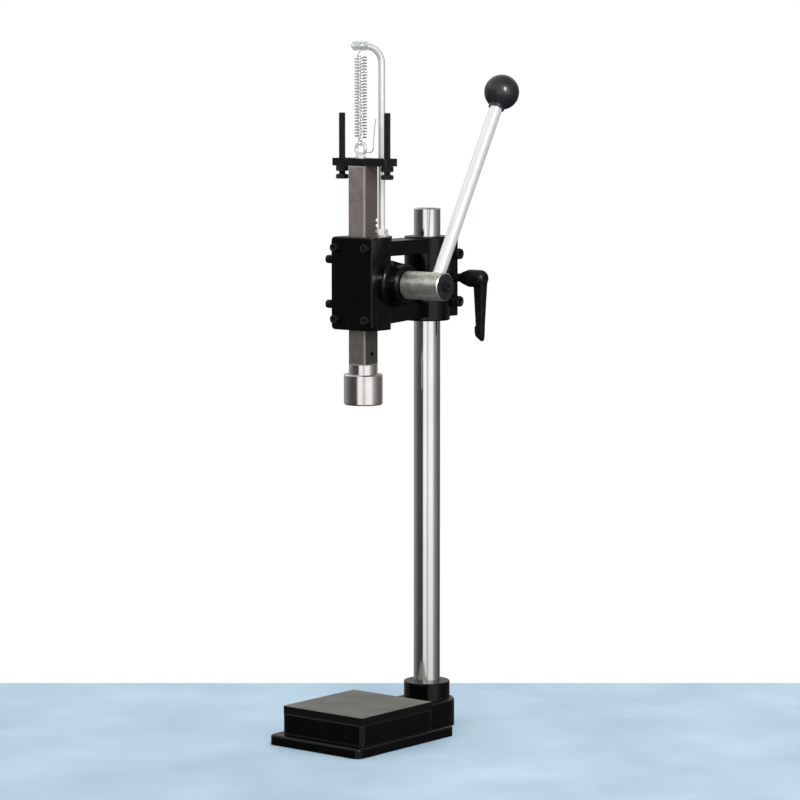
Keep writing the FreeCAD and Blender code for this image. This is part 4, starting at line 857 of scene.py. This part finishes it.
def make_world():
    """White to the eye; metal sees bright windows in front, a dark side and a grey side of the room."""
    world = bpy.data.worlds.new("room")
    bpy.context.scene.world = world
    world.use_nodes = True
    tree = world.node_tree
    tree.nodes.clear()
    way = add_node(tree, "TexCoord").outputs["Generated"]
    view = math.radians(CAMERA_HEADING)

    def along(direction):
        """How far a ray goes along a level direction."""
        both = {0: way, 1: direction}
        return add_node(tree, "VectorMath", both, operation="DOT_PRODUCT").outputs["Value"]

    right = along((math.cos(view), math.sin(view), 0))
    toward = along((math.sin(view), -math.cos(view), 0))
    turn = math_node(tree, "ARCTAN2", right, toward)
    share = math_node(tree, "ADD", math_node(tree, "DIVIDE", turn, TURN), 0.5)

    def round_room(shades):
        """Ramp round the room; a stop's place is degrees to the camera's right, round the object."""
        return ramp(tree, share, [(degrees / 360 + 0.5, shade) for degrees, shade in shades])

    room = round_room([(-180, 0.30), (-150, 0.32), (-126, 0.26), (-108, 0.17), (-82, 0.07), (-38, 0.045),
                       (-30, 1.0), (-8, 1.0), (2, 0.55), (8, 0.60), (18, 1.0), (50, 1.0), (60, 0.46),
                       (74, 0.27), (97, 0.13), (130, 0.09), (180, 0.30)])
    height = add_node(tree, "SeparateXYZ", {"Vector": way}).outputs["Z"]
    storey = ramp(tree, math_node(tree, "ADD", math_node(tree, "MULTIPLY", height, 0.5), 0.5),
                  [(0.10, 0.06), (0.36, 0.16), (0.43, 1.0), (1.0, 1.0)])
    overhead = ramp(tree, height, [(0.22, 0.0), (0.42, 1.0)])
    ceiling = ramp(tree, height, [(0.40, (0.95, 0.96, 0.92)), (0.62, (0.80, 0.81, 0.78)),
                                  (0.80, (0.45, 0.47, 0.48))])
    side = round_room([(-180, 0.8), (-150, 1.0), (-5, 1.0), (25, 0.3), (110, 0.3), (180, 0.8)])
    room = blend_colour(tree, overhead, room, tinted(tree, ceiling, side))
    room = tinted(tree, room, storey)
    soft = add_node(tree, "Background", {"Color": (0.95, 0.98, 1.0, 1), "Strength": 0.68}).outputs[0]
    mirrored = add_node(tree, "Background", {"Color": room, "Strength": 1.0}).outputs[0]
    white = add_node(tree, "Background", {"Color": (1, 1, 1, 1), "Strength": 1.0}).outputs[0]
    path = add_node(tree, "LightPath").outputs
    shiny = math_node(tree, "MAXIMUM", path["Is Glossy Ray"], path["Is Transmission Ray"])
    lit = add_node(tree, "MixShader", {0: shiny, 1: soft, 2: mirrored}).outputs[0]
    seen = add_node(tree, "MixShader", {0: path["Is Camera Ray"], 1: lit, 2: white}).outputs[0]
    output = tree.nodes.new("ShaderNodeOutputWorld")
    tree.links.new(seen, output.inputs["Surface"])


def add_lamp(name, turn, height, distance, size, power, colour=(1, 1, 1), aim=0.45, mirrored=False):
    """Soft lamp; turn is degrees to the camera's right, round the object."""
    heading = math.radians(CAMERA_HEADING + turn)
    lamp = bpy.data.lights.new(name, "AREA")
    lamp.size, lamp.energy, lamp.color = size, power, colour
    holder = bpy.data.objects.new(name, lamp)
    holder.location = (math.sin(heading) * distance, -math.cos(heading) * distance, height)
    holder.rotation_mode = "QUATERNION"
    holder.rotation_quaternion = (holder.location - Vector((0, 0, aim))).to_track_quat("Z", "Y")
    holder.visible_glossy = mirrored
    bpy.context.scene.collection.objects.link(holder)
    return holder


def make_lights():
    """Key, fill and top lamps that reflections don't show, and a strip that only reflections show."""
    add_lamp("key", turn=18, height=2.3, distance=2.6, size=0.9, power=34, colour=(1.0, 0.98, 0.95))
    strip = add_lamp("glint", turn=26, height=1.85, distance=2.6, size=0.40, power=60, aim=0.7,
                     mirrored=True)
    strip.visible_diffuse = False
    strip.data.shape, strip.data.size_y = "RECTANGLE", 0.9
    add_lamp("fill", turn=-55, height=1.6, distance=3.0, size=1.6, power=18, colour=(0.94, 0.97, 1.0))
    add_lamp("top", turn=150, height=3.0, distance=1.5, size=1.4, power=30)


def make_camera():
    """Camera of the photograph."""
    camera = bpy.data.cameras.new("camera")
    camera.lens, camera.sensor_width = CAMERA_LENS, 36
    camera.clip_start, camera.clip_end = 0.1, 50
    holder = bpy.data.objects.new("camera", camera)
    holder.location = CAMERA_AT
    holder.rotation_euler = (math.radians(CAMERA_TILT), 0, math.radians(CAMERA_HEADING))
    bpy.context.scene.collection.objects.link(holder)
    bpy.context.scene.camera = holder


dress_cad()
make_cap_screws("cover_screws", "Y", -1, head=5.0, thick=6.0, shank=3.0, key=5.0)
make_cap_screws("gib_screws", "X", -1, head=5.0, thick=6.0, shank=3.0, key=5.0, pitch=1.0)
make_cap_screws("clamp_screws", "X", 1, head=6.5, thick=8.0, shank=4.0, key=6.0)
make_cap_screws("hub_clamp_screw", "X", 1, head=5.0, thick=4.0, shank=4.0, key=5.0)
make_cap_screws("pinion_end_screw", "X", -1, head=5.0, thick=4.0, shank=3.0, key=5.0)
make_nuts("gib_lock_nuts", "X", flats=10.0, bore=3.0)
make_nuts("stop_nuts", "Z", flats=13.0, bore=4.0)
make_nuts("spring_rod_foot_nut", "Z", flats=13.0, bore=4.0)
make_stop_bolts()
make_spring_rod()
make_tip_nuts()
make_return_spring()
make_wire_tail()
make_clamp_spring()
make_clamp_handle()
make_stage()
make_world()
make_lights()
make_camera()
bpy.context.scene.view_settings.view_transform = "Standard"
